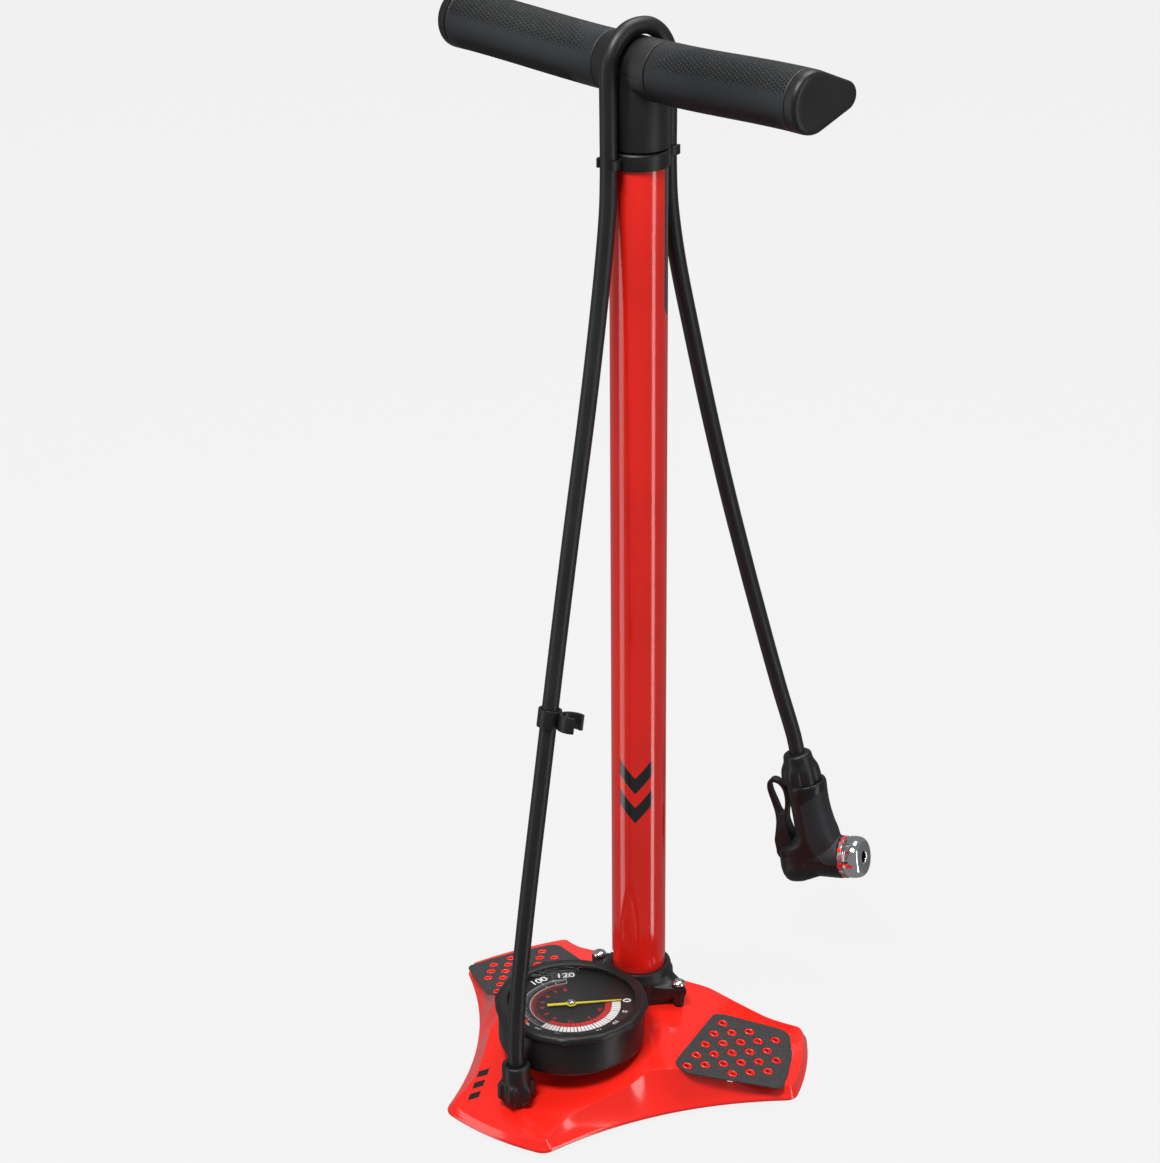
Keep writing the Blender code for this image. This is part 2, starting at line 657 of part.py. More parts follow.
# ---------------------------------------------------------------- handle
stem_profile = [
    (0, ROD_TOP + GAP), (BORE, ROD_TOP + GAP), (BORE, STEM_BOTTOM + 0.0068),
    (0.0098, STEM_BOTTOM + 0.0068), (0.0098, STEM_BOTTOM), (STEM_R - 0.0006, STEM_BOTTOM),
    (STEM_R, STEM_BOTTOM + 0.0006), (STEM_R, HANDLE_Z - 0.003), (0, HANDLE_Z - 0.003),
]
core = add_object("handle_core", lathe(stem_profile, 32, closed=False), black, upper, smooth=40)
hub_tube = lathe([(0, -HUB_HALF), (HANDLE_R, -HUB_HALF), (HANDLE_R, HUB_HALF), (0, HUB_HALF)],
                 28, (0, 0, HANDLE_Z), "X", closed=False)
rod_bore = post(BORE, 0.60, ROD_TOP + GAP, 0, 0, 20)
CORE_HALF = 0.1385
core_tube = lathe([(0, -CORE_HALF), (CORE_R, -CORE_HALF), (CORE_R, CORE_HALF), (0, CORE_HALF)],
                  16, (0, 0, CORE_Z), "X", closed=False)
join(core, hub_tube, upper)
join(core, core_tube, upper)
cut(core, rod_bore, upper)

nut = lathe([(HEX_BORE, 0.6036), (0.0090, 0.6036), (0.0090, 0.6096), (HEX_BORE, 0.6096)], 6)
add_object("rod_lock_nut", nut, steel, upper, smooth=0)


def grip_section(x, share):
    """Outer outline of the grip: round in the middle, a flat teardrop at the ends."""
    sign = 1 if x > 0 else -1
    lift = 0.0065 * share
    front = Vector((-0.0095 * share, HANDLE_Z + lift))
    back = Vector((front.x + 0.0260 * share, HANDLE_Z + 0.0060 * share))
    front_r = HANDLE_R
    back_r = HANDLE_R - 0.0095 * share
    points = []
    count = 28
    for i in range(count):
        a = 2 * math.pi * i / count
        ray = Vector((math.cos(a), math.sin(a)))
        use_front = front.dot(ray) + front_r >= back.dot(ray) + back_r
        middle, radius = (front, front_r) if use_front else (back, back_r)
        p = middle + ray * radius
        points.append((abs(x) * sign, p.x, p.y))
    return points


def shrink(section, x, by):
    """The same outline pulled in evenly and moved to another x."""
    middle = sum((Vector(p) for p in section), Vector()) / len(section)
    found = []
    for p in section:
        away = Vector((0, p[1] - middle.y, p[2] - middle.z))
        short = max(away.length - by, 0.0) / away.length
        found.append((x, middle.y + away.y * short, middle.z + away.z * short))
    return found


def grip_body(side):
    stations = [0.0215, 0.0300, 0.0450, 0.0600, 0.0800, 0.1000, 0.1200, GRIP_END]
    rings = []
    for x in stations:
        share = smooth_step((x - 0.0215) / (GRIP_END - 0.0215))
        rings.append(grip_section(side * x, share))
    count = len(rings[0])
    bore = []
    for x in (GRIP_END, 0.0215):
        turned = [2 * math.pi * i / count for i in range(count)]
        bore.append([(side * x, (CORE_R + GAP) * math.cos(a),
                      CORE_Z + (CORE_R + GAP) * math.sin(a)) for a in turned])
    return skin(rings + bore, loop=True)


def end_cap_body(side):
    section = grip_section(side * (GRIP_END + GAP), 1.0)
    rings = [section]
    for x, by in ((0.1430, 0.0), (0.1455, 0.0008), (0.1466, 0.0022), (CAP_END, 0.0042)):
        rings.append(shrink(section, side * x, by))
    return skin(rings)


for side, word in ((1, "right"), (-1, "left")):
    add_object("handle_grip_" + word, grip_body(side), grip_rubber, upper, smooth=30)
    add_object("grip_end_cap_" + word, end_cap_body(side), black, upper, smooth=50)


# ---------------------------------------------------------------- chuck frame
nozzle_way = Vector((math.cos(CHUCK_TIP) * math.cos(CHUCK_TURN),
                     math.cos(CHUCK_TIP) * math.sin(CHUCK_TURN), math.sin(CHUCK_TIP)))
hose_way = Vector((-math.sin(CHUCK_TIP) * math.cos(CHUCK_TURN),
                   -math.sin(CHUCK_TIP) * math.sin(CHUCK_TURN), math.cos(CHUCK_TIP)))
side_way = hose_way.cross(nozzle_way)
chuck_axes = Matrix((nozzle_way, side_way, hose_way)).transposed()
chuck = empty("chuck_frame", whole, CHUCK_AT, chuck_axes)


def route_between(points, spans):
    """Points read from a smooth curve through the given ones; spans sets the count."""
    found = []
    for i, steps in enumerate(spans):
        before = points[max(i - 1, 0)]
        start, end = points[i], points[i + 1]
        after = points[min(i + 2, len(points) - 1)]
        for k in range(steps):
            t = k / steps
            found.append(0.5 * (
                2 * start + (end - before) * t
                + (2 * before - 5 * start + 4 * end - after) * t * t
                + (3 * start - before - 3 * end + after) * t ** 3
            ))
    found.append(points[-1])
    return found


def hose_route():
    turn = Matrix.Rotation(UPPER_TURN, 3, "Z")

    def leg(offset, height):
        return turn @ Vector((0, offset, height))

    points = [
        Vector((0, OUTLET_Y, HOSE_BOTTOM)), Vector((0, -0.1323, 0.0600)),
        Vector((0, -0.1279, 0.0975)), Vector((0, -0.1177, 0.1534)),
        Vector((0, -0.1016, 0.2298)), Vector((-0.0010, -0.0832, 0.3101)),
        Vector((-0.0020, -0.0659, 0.3824)), Vector((-0.0030, -0.0481, 0.4532)),
        Vector((-0.0037, -0.0345, 0.5150)), Vector((-0.0041, -0.0262, 0.5620)),
        leg(-LEG_OFFSET, 0.5900), leg(-LEG_OFFSET, 0.6200),
    ]
    spans = [1, 2, 3, 4, 4, 3, 3, 3, 3, 2, 2]
    loop_centre = HANDLE_Z
    loop_rise = LOOP_TOP - loop_centre
    for degrees in (180, 155, 130, 105, 75, 50, 25, 0):
        a = math.radians(degrees)
        points.append(leg(LEG_OFFSET * math.cos(a), loop_centre + loop_rise * math.sin(a)))
        spans.append(2)
    points += [leg(LEG_OFFSET, 0.6200), leg(LEG_OFFSET, 0.5900), Vector((0.0043, 0.0262, 0.5620)),
               Vector((0.0044, 0.0345, 0.5250)), Vector((0.0045, 0.0495, 0.4774)),
               Vector((0.0042, 0.0694, 0.4191)), Vector((0.0045, 0.0911, 0.3579)),
               Vector((0.0062, 0.1139, 0.2943)), Vector((0.0085, 0.1241, 0.2624)),
               Vector((0.0122, 0.1326, 0.2309)), Vector((0.0183, 0.1380, 0.2010))]
    spans += [2, 2, 2, 2, 2, 3, 3, 3, 2, 2, 2]
    end = Vector(CHUCK_AT) + hose_way * -0.0077
    points += [Vector(CHUCK_AT) + hose_way * 0.0120, end]
    spans += [2, 1]
    return route_between(points, spans[:len(points) - 1])


bent_tube("hose", hose_route(), HOSE_R, rubber, whole)

# The clip sits on the front leg of the hose and turns about it.
CLIP_AT = (-0.0005, -0.0926, 0.2683)
clip_axis = Vector((-0.0010, 0.0184, 0.0800)).normalized()
clip_side = Vector((0.985, 0.174, 0.0))
clip_side = (clip_side - clip_axis * clip_side.dot(clip_axis)).normalized()
clip_axes = Matrix((clip_side, clip_axis.cross(clip_side), clip_axis)).transposed()
clip_frame = empty("clip_frame", whole, CLIP_AT, clip_axes)
CLIP_BORE = HOSE_R + 2 * GAP
clip_ring = lathe([(CLIP_BORE, -0.0057), (0.0074, -0.0057), (0.0074, 0.0057),
                   (CLIP_BORE, 0.0057)], 20)
clip_body = add_object("hose_clip", clip_ring, black, clip_frame)
CLIP_C = 0.0152
mouth = math.radians(52)
c_outer = arc(0.0083, mouth, 2 * math.pi - mouth, 19, (CLIP_C, 0))
c_inner = arc(0.0060, 2 * math.pi - mouth, mouth, 19, (CLIP_C, 0))
join(clip_body, prism(c_outer + c_inner, -0.0050, 0.0050), clip_frame)


# ---------------------------------------------------------------- chuck pieces
chuck_nut = lathe(
    [(HOSE_R + GAP, 0), (0.0082, 0), (0.0096, -0.0012), (0.0102, -0.0055), (0.0128, -0.0110),
     (0.0135, -0.0160), (0.0136, -0.0207), (0.0030, -0.0207), (0.0030, -0.0080),
     (HOSE_R + GAP, -0.0080)], 24,
)
add_object("chuck_nut", chuck_nut, black, chuck)


def body_outline():
    """Side view of the chuck's body, around the lever's round socket."""
    points = [(0.0150, -0.0210), (0.0166, -0.0230), (0.0158, -0.0330), (0.0160, -0.0450),
              (0.0167, -0.0530), (0.0182, -0.0590), (0.0203, -0.0632), (0.0203, -0.0932),
              (0.0090, -0.0922), (-0.0037, -0.0916), (-0.0094, -0.0938), (-0.0170, -0.0970),
              (-0.0220, -0.0955), (-0.0250, -0.0905), (-0.0262, -0.0835)]
    points = points[::-1]
    socket = arc(LEVER_ROOT_R + 0.0005, math.radians(-128), math.radians(32), 10, LEVER_PIVOT)
    points = points[:1] + socket + [(-0.0098, -0.0560), (-0.0102, -0.0420), (-0.0106, -0.0300),
                                    (-0.0112, -0.0225), (-0.0095, -0.0210)] + points[:0:-1]
    return points


def rounded_slab(outline, half, round_by):
    """The outline in the XZ plane, thick along Y, its long edges rounded in steps."""
    count = len(outline)
    corners = [Vector(p) for p in outline]
    area = sum(a.x * b.y - b.x * a.y for a, b in zip(corners, corners[1:] + corners[:1]))
    sign = 1 if area > 0 else -1
    normals = []
    for i in range(count):
        a = (corners[i] - corners[i - 1]).normalized()
        b = (corners[(i + 1) % count] - corners[i]).normalized()
        mean = (a + b).normalized()
        normals.append(Vector((-mean.y, mean.x)) * sign)
    rings = []
    for degrees in (-90, -60, -30, 0, 30, 60, 90):
        if degrees == 0:
            continue
        a = math.radians(degrees)
        inset = round_by * (1 - math.cos(a)) * 0.8
        depth = (half - round_by) * (1 if degrees > 0 else -1) + round_by * math.sin(a)
        rings.append([(p.x + n.x * inset, depth, p.y + n.y * inset)
                      for p, n in zip(corners, normals)])
    return skin(rings)


chuck_body = add_object("chuck_body", rounded_slab(body_outline(), 0.0130, 0.0045), black, chuck,
                        smooth=50)
neck = lathe([(0, -0.004), (0.0132, -0.004), (0.0146, 0.0160), (0.0146, 0.0203), (0, 0.0203)],
             24, (0, 0, NOZZLE_Z), "X", closed=False)
join(chuck_body, neck, chuck)
EAR = ((-0.0118, -0.0640), (-0.0180, -0.0655), (-0.0235, -0.0680), (-0.0255, -0.0725),
       (-0.0250, -0.0830), (-0.0118, -0.0850))
for low in (-0.0104, 0.0066):
    join(chuck_body, prism(EAR, low, low + 0.0038, "XZ"), chuck)
cut(chuck_body, lathe([(0, -0.009), (0.0090, -0.009), (0.0090, 0.03), (0, 0.03)], 20,
                      (0, 0, NOZZLE_Z), "X", closed=False), chuck)
cut(chuck_body, lathe([(0, -0.074), (0.0030, -0.074), (0.0030, 0.01), (0, 0.01)], 12,
                      closed=False), chuck)
PIN_AT = (LEVER_PIVOT[0], 0, LEVER_PIVOT[1])
PIN_HALF = 0.0104
cut(chuck_body, lathe([(0, -0.02), (0.0019, -0.02), (0.0019, 0.02), (0, 0.02)], 12,
                      PIN_AT, "Y", closed=False), chuck)
pin = lathe([(0, -PIN_HALF), (0.0016, -PIN_HALF), (0.0016, PIN_HALF), (0, PIN_HALF)], 12,
            PIN_AT, "Y", closed=False)
add_object("lever_pin", pin, steel, chuck, PIN_AT)

root = arc(LEVER_ROOT_R, math.radians(150), math.radians(395), 14, LEVER_PIVOT)
lever_points = root + [
    (-0.0150, -0.0600), (-0.0160, -0.0510), (-0.0135, -0.0435), (-0.0117, -0.0370),
    (-0.0116, -0.0290), (-0.0140, -0.0225), (-0.0179, -0.0195), (-0.0215, -0.0187),
    (-0.0250, -0.0215), (-0.0261, -0.0270), (-0.0245, -0.0361), (-0.0228, -0.0475),
    (-0.0243, -0.0558), (-0.0268, -0.0630),
]
lever_bm = prism(lever_points, -0.0060, 0.0060, "XZ")
lever = add_object("chuck_lever", lever_bm, black, chuck, PIN_AT, smooth=30)
LOOP = ((-0.0196, -0.0235), (-0.0160, -0.0262), (-0.0140, -0.0305), (-0.0140, -0.0370),
        (-0.0163, -0.0440), (-0.0186, -0.0420), (-0.0208, -0.0340), (-0.0221, -0.0270))
cut(lever, prism(LOOP, -0.01, 0.01, "XZ"), chuck)
cut(lever, lathe([(0, -0.02), (0.0019, -0.02), (0.0019, 0.02), (0, 0.02)], 12,
                 PIN_AT, "Y", closed=False), chuck)

NOZZLE = (0, 0, NOZZLE_Z)
ring = lathe([(0.0104, 0.0206), (0.0140, 0.0206), (0.0144, 0.0212), (0.0144, 0.0240),
              (0.0104, 0.0240)], 24, NOZZLE, "X")
add_object("nozzle_ring", ring, marker_red, chuck, NOZZLE)
nozzle_cap = lathe(
    [(0.0104, 0.0243), (0.0142, 0.0243), (0.0143, 0.0280), (0.0136, 0.0322), (0.0124, 0.0346),
     (0.0108, 0.0355), (0.0040, 0.0355), (0.0040, 0.0330), (0.0104, 0.0330)],
    24, NOZZLE, "X",
)
add_object("nozzle_cap", nozzle_cap, chrome, chuck, NOZZLE)
gasket = lathe([(0.0038, 0.0255), (0.0098, 0.0255), (0.0101, 0.0262), (0.0101, 0.0320),
                (0.0098, 0.0327), (0.0038, 0.0327)], 16, NOZZLE, "X")
add_object("chuck_gasket", gasket, rubber, chuck, NOZZLE)
plunger = lathe([(0.0015, -0.0050), (0.0086, -0.0050), (0.0086, 0.0222), (0.0020, 0.0222)],
                20, NOZZLE, "X")
add_object("chuck_plunger", plunger, steel, chuck, NOZZLE)
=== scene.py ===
"""Looks of an upright floor pump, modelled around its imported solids.

Everything is in metres: +Z runs up the barrel, -Y faces the gauge, and the floor is Z = 0.
"""
import math

import bpy
from bpy.props import FloatProperty, FloatVectorProperty, IntProperty, PointerProperty
from mathutils import Matrix, Vector


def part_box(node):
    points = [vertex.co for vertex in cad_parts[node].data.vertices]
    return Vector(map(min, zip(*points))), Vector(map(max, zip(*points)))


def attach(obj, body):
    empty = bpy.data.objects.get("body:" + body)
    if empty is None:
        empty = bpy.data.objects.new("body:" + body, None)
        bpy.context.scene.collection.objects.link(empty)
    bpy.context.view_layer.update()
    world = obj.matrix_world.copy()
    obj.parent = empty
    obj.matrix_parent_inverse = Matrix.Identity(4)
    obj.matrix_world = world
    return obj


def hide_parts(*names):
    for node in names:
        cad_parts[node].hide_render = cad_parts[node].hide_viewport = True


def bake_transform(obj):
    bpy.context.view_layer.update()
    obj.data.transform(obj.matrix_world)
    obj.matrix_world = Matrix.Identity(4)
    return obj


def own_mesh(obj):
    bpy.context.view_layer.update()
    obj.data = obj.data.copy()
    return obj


bl_info = {
    "name": "Floor pump",
    "version": (1, 0, 0),
    "blender": (4, 5, 0),
    "location": "3D View > Sidebar > Floor pump",
    "description": "Builds an upright floor pump with its gauge, hose and chuck",
    "category": "Add Mesh",
}

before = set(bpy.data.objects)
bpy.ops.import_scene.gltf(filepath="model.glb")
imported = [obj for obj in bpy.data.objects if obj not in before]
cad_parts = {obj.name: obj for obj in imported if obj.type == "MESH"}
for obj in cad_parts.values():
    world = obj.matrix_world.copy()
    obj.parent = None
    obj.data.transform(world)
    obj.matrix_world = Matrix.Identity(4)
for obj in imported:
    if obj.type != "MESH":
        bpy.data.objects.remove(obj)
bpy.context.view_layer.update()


def measured(node):
    """The low and the high corner of a solid's box, and half its width."""
    low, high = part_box(node)
    return low, high, (high.x - low.x) / 2


def box_middle(node):
    low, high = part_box(node)
    return (low + high) / 2


BARREL_LOW, BARREL_HIGH, BARREL_RADIUS = measured("barrel_tube")
AXIS_Y = box_middle("barrel_tube").y
GAUGE_LOW, GAUGE_HIGH, GAUGE_RADIUS = measured("gauge_bezel")
GAUGE_AT = box_middle("gauge_bezel")
OUTLET_AT = box_middle("outlet_fitting")
UPPER_TURN = math.radians(-10.0)     # the cap and the handle are turned this far
TO_BARREL = Matrix.Translation((0.0, AXIS_Y, 0.0))
TO_UPPER = TO_BARREL @ Matrix.Rotation(UPPER_TURN, 4, "Z")
TO_GAUGE = Matrix.Translation((0.0, GAUGE_AT.y, 0.0))
Z_TO_X = Matrix.Rotation(math.pi / 2, 4, "Y")
Z_TO_Y = Matrix.Rotation(math.pi / 2, 4, "X")

# The chuck's own axes: X along its nose, Z up the hose, from the top of its nut.
CHUCK_TURN = math.radians(11.0)
CHUCK_TIP = math.radians(12.0)
CHUCK_AT = Vector((0.0300, AXIS_Y + 0.1425, 0.1556))
NOSE_WAY = Vector((math.cos(CHUCK_TIP) * math.cos(CHUCK_TURN),
                   math.cos(CHUCK_TIP) * math.sin(CHUCK_TURN), math.sin(CHUCK_TIP)))
HOSE_WAY = Vector((-math.sin(CHUCK_TIP) * math.cos(CHUCK_TURN),
                   -math.sin(CHUCK_TIP) * math.sin(CHUCK_TURN), math.cos(CHUCK_TIP)))
SIDE_WAY = HOSE_WAY.cross(NOSE_WAY)
CHUCK_AXES = Matrix((NOSE_WAY, SIDE_WAY, HOSE_WAY)).transposed().to_4x4()
TO_CHUCK = Matrix.Translation(CHUCK_AT) @ CHUCK_AXES
NOZZLE_Z = -0.0784
ALONG_NOSE = Matrix.Translation((0, 0, NOZZLE_Z)) @ Z_TO_X
TO_NOZZLE = TO_CHUCK @ ALONG_NOSE


# ---------------------------------------------------------------- settings
class FloorPumpSizes(bpy.types.PropertyGroup):
    """Sizes that the pump's pieces are drawn to."""

    barrel_sides: IntProperty(
        name="Barrel sides", description="Faces round the barrel", default=128, min=32, max=256)
    hose_diameter: FloatProperty(
        name="Hose diameter", description="Outside diameter of the air hose",
        default=0.0104, min=0.006, max=0.016, unit="LENGTH", subtype="DISTANCE")
    gauge_bumps: IntProperty(
        name="Gauge bumps", description="Soft bumps round the gauge's turning ring",
        default=12, min=0, max=36)
    grip_rib_pitch: FloatProperty(
        name="Grip rib pitch", description="Distance between ribs under the grips",
        default=0.0030, min=0.001, max=0.01, unit="LENGTH", subtype="DISTANCE")
    grip_rib_depth: FloatProperty(
        name="Grip rib depth", description="Depth of the ribs under the grips",
        default=0.0010, min=0.0, max=0.002, unit="LENGTH", subtype="DISTANCE")


def paint(name, description, default):
    """A colour that a user can set."""
    return FloatVectorProperty(name=name, description=description, default=default,
                               size=3, min=0, max=1, subtype="COLOR")


class FloorPumpColours(bpy.types.PropertyGroup):
    """Colours of the pump's finishes."""

    enamel: paint(
        "Enamel", "Gloss paint on the barrel and the foot plate", (0.92, 0.018, 0.010))
    moulding: paint(
        "Moulding", "Black moulded plastic", (0.0085, 0.0082, 0.0086))
    grip: paint(
        "Grip", "Soft covering of the handle", (0.0120, 0.0132, 0.0150))
    rubber: paint(
        "Rubber", "Hose, seals and feet", (0.0080, 0.0082, 0.0086))
    needle: paint(
        "Needle", "Gauge needle", (0.82, 0.72, 0.04))
    dial_red: paint(
        "Dial red", "Second scale and the set marker", (0.62, 0.012, 0.012))


# ---------------------------------------------------------------- shading
class Wire:
    """A socket that takes arithmetic; each operator adds one Math node."""

    def __init__(self, finish, socket):
        self.finish = finish
        self.socket = socket

    def maths(self, operation, *others):
        return self.finish.node("ShaderNodeMath", {"operation": operation}, (self, *others))

    def __add__(self, other):
        return self.maths("ADD", other)

    def __sub__(self, other):
        return self.maths("SUBTRACT", other)

    def __mul__(self, other):
        return self.maths("MULTIPLY", other)

    def __truediv__(self, other):
        return self.maths("DIVIDE", other)

    def __gt__(self, other):
        return self.maths("GREATER_THAN", other)

    def __lt__(self, other):
        return self.maths("LESS_THAN", other)

    def __rsub__(self, other):
        return self.finish.node("ShaderNodeMath", {"operation": "SUBTRACT"}, (other, self))

    __radd__ = __add__
    __rmul__ = __mul__


class Finish:
    """One material, built up node by node."""

    def __init__(self, name):
        self.material = bpy.data.materials.new(name)
        self.material.use_nodes = True
        self.tree = self.material.node_tree
        self.shader = self.tree.nodes["Principled BSDF"]

    def feed(self, socket, value):
        if isinstance(value, Wire):
            self.tree.links.new(value.socket, socket)
        elif value is not None:
            socket.default_value = value

    def node(self, kind, settings=None, values=(), out=0):
        """Adds a node: its settings first, then its inputs by place or by name."""
        made = self.tree.nodes.new(kind)
        for name, value in (settings or {}).items():
            if name == "stops":
                ramp = made.color_ramp
                for index, (place, colour) in enumerate(value):
                    if index < len(ramp.elements):
                        stop = ramp.elements[index]
                    else:
                        stop = ramp.elements.new(place)
                    stop.position = place
                    stop.color = (*colour, 1.0)
            else:
                setattr(made, name, value)
        if isinstance(values, dict):
            for name, value in values.items():
                self.feed(made.inputs[name], value)
        else:
            for index, value in enumerate(values):
                self.feed(made.inputs[index], value)
        return Wire(self, made.outputs[out])

    def place(self, scale=(1, 1, 1), shift=(0, 0, 0)):
        """Object coordinates, in metres, moved and then stretched."""
        start = self.node("ShaderNodeTexCoord", out="Object")
        return self.node("ShaderNodeMapping", {}, {"Vector": start, "Scale": scale,
                                                   "Location": shift})

    def axes(self, vector):
        """The three numbers of a vector."""
        first = self.node("ShaderNodeSeparateXYZ", {}, (vector,))
        outputs = first.socket.node.outputs
        return [Wire(self, outputs[i]) for i in range(3)]

    def noise(self, vector, scale, detail=3.0, rough=0.5):
        return self.node("ShaderNodeTexNoise", {}, {
            "Vector": vector, "Scale": scale, "Detail": detail, "Roughness": rough})

    def cells(self, vector, scale, spread=1.0):
        return self.node("ShaderNodeTexVoronoi", {}, {
            "Vector": vector, "Scale": scale, "Randomness": spread}, out="Distance")

    def between(self, value, low, high, new_low=0.0, new_high=1.0):
        """Maps low..high smoothly onto new_low..new_high."""
        return self.node("ShaderNodeMapRange", {"interpolation_type": "SMOOTHSTEP"}, {
            "Value": value, "From Min": low, "From Max": high,
            "To Min": new_low, "To Max": new_high})

    def spread(self, value, new_low=0.0, new_high=1.0):
        """Maps the middle of a noise onto new_low..new_high."""
        return self.between(value, 0.3, 0.7, new_low, new_high)

    def within(self, value, low, high, edge=0.0001):
        """One from low to high and nothing outside, with soft edges."""
        return (self.between(value, low - edge, low + edge)
                * self.between(value, high - edge, high + edge, 1.0, 0.0))

    def blend(self, share, first, second):
        """Mixes two colours."""
        made = self.tree.nodes.new("ShaderNodeMix")
        made.data_type = "RGBA"
        for socket, value in ((made.inputs[0], share), (made.inputs[6], first),
                              (made.inputs[7], second)):
            if socket.name != "Factor" and not isinstance(value, Wire):
                value = (*tuple(value)[:3], 1.0)
            self.feed(socket, value)
        return Wire(self, made.outputs[2])

    def bump(self, height, depth, normal=None):
        """A normal from a height; depth is in metres."""
        return self.node("ShaderNodeBump", {}, {
            "Height": height, "Distance": depth, "Strength": 1.0, "Normal": normal})

    def surface(self, colour, roughness, metallic=0.0, normal=None, **fixed):
        """Sets the shader; fixed holds sockets that are the same all over."""
        if not isinstance(colour, Wire):
            colour = (*tuple(colour)[:3], 1.0)
        self.feed(self.shader.inputs["Base Color"], colour)
        self.feed(self.shader.inputs["Roughness"], roughness)
        self.feed(self.shader.inputs["Metallic"], metallic)
        self.feed(self.shader.inputs["Normal"], normal)
        for name, value in fixed.items():
            label = name.replace("_", " ").title().replace("Ior", "IOR")
            self.shader.inputs[label].default_value = value
        return self.material


def tuned(colour, factor):
    return tuple(min(1.0, c * factor) for c in colour)


FINISHES = {}
ENAMEL_GLOSS = {"coat_weight": 0.40, "coat_roughness": 0.05, "specular_ior_level": 0.45}
MARK_BLACK = (0.012, 0.012, 0.013)


def enamel_base(f, colour):
    """Enamel colour with slow drift, and an orange-peel normal."""
    place = f.place()
    drift = f.noise(place, 14.0, 3.0)
    shade = f.blend(f.between(drift, 0.35, 0.65), tuned(colour, 0.93), colour)
    peel = f.noise(place, 420.0, 2.0)
    specks = f.noise(place, 2600.0, 1.0)
    rough = f.spread(drift * 0.7 + specks * 0.3, 0.13, 0.21)
    return shade, rough, f.bump(peel, 0.000010)


def make_enamel(colours):
    f = Finish("red_enamel")
    shade, rough, normal = enamel_base(f, colours.enamel)
    return f.surface(shade, rough, 0.0, normal, **ENAMEL_GLOSS)


def make_barrel_enamel(colours):
    """Enamel with a plain black stripe down from the cap and two black chevrons."""
    f = Finish("red_enamel_with_marks")
    shade, rough, normal = enamel_base(f, colours.enamel)
    x, y, z = f.axes(f.place(shift=(0.0, -AXIS_Y, 0.0)))
    angle = f.node("ShaderNodeMath", {"operation": "ARCTAN2"}, (y, x))
    stripe_angle = math.radians(36.0)
    half_width = 0.0090
    end_z = 0.5090
    off_stripe = ((angle - stripe_angle) * BARREL_RADIUS).maths("ABSOLUTE")
    drop = (end_z - z).maths("MAXIMUM", 0.0)
    reach = (off_stripe * off_stripe + drop * drop).maths("SQRT")
    stripe = f.between(reach, half_width - 0.0001, half_width + 0.0001, 1.0, 0.0)
    chevron_angle = math.radians(-62.0)
    chevron_slope = 1.15
    chevron_size = 0.0110
    across = ((angle - chevron_angle) * BARREL_RADIUS).maths("ABSOLUTE")
    side = f.between(across, chevron_size - 0.0001, chevron_size + 0.0001, 1.0, 0.0)
    black = stripe
    for low in (0.1640, 0.1850):
        band = f.within(z - low - across * chevron_slope, 0.0, chevron_size)
        black = black.maths("MAXIMUM", band * side)
    tone = f.blend(black, shade, MARK_BLACK)
    return f.surface(tone, rough, 0.0, normal, **ENAMEL_GLOSS)


def make_plate_enamel(colours):
    """Enamel with three slanted black bars near the front foot's left corner."""
    f = Finish("red_enamel_with_bars")
    shade, rough, normal = enamel_base(f, colours.enamel)
    x, y, _ = f.axes(f.place(shift=(0.0, -AXIS_Y, 0.0)))
    edge = math.radians(68.0)
    along = x * math.cos(edge) * -1.0 + y * math.sin(edge)
    out = x * math.sin(edge) * -1.0 - y * math.cos(edge)
    lean = along + out * 0.55
    first, second, third = (f.within(lean, low, low + 0.0058)
                            for low in (-0.0799, -0.0699, -0.0599))
    band = f.within(out, 0.0753, 0.0816)
    upward = f.axes(f.node("ShaderNodeNewGeometry", out="Normal"))[2]
    bars = (first + second + third) * band * (upward > 0.5)
    tone = f.blend(bars, shade, MARK_BLACK)
    return f.surface(tone, rough, 0.0, normal, **ENAMEL_GLOSS)


def make_moulding(colours):
    """Satin black plastic with a fine moulded grain."""
    f = Finish("black_moulding")
    place = f.place()
    grain = f.cells(place, 1500.0)
    drift = f.noise(place, 30.0, 3.0)
    shade = f.blend(f.spread(drift), tuned(colours.moulding, 0.85),
                    tuned(colours.moulding, 1.25))
    rough = f.between(drift * 0.6 + grain * 0.4, 0.2, 0.7, 0.36, 0.47)
    return f.surface(shade, rough, 0.0, f.bump(grain, 0.000018), specular_ior_level=0.40)


def make_rubber(colours):
    """Matt black rubber with a soft bloom."""
    f = Finish("black_rubber_skin")
    place = f.place()
    drift = f.noise(place, 22.0, 4.0)
    pores = f.noise(place, 1900.0, 2.0)
    shade = f.blend(f.between(drift, 0.3, 0.75), colours.rubber, tuned(colours.rubber, 1.7))
    rough = f.spread(drift * 0.5 + pores * 0.5, 0.40, 0.54)
    return f.surface(shade, rough, 0.0, f.bump(pores, 0.000020), specular_ior_level=0.42)


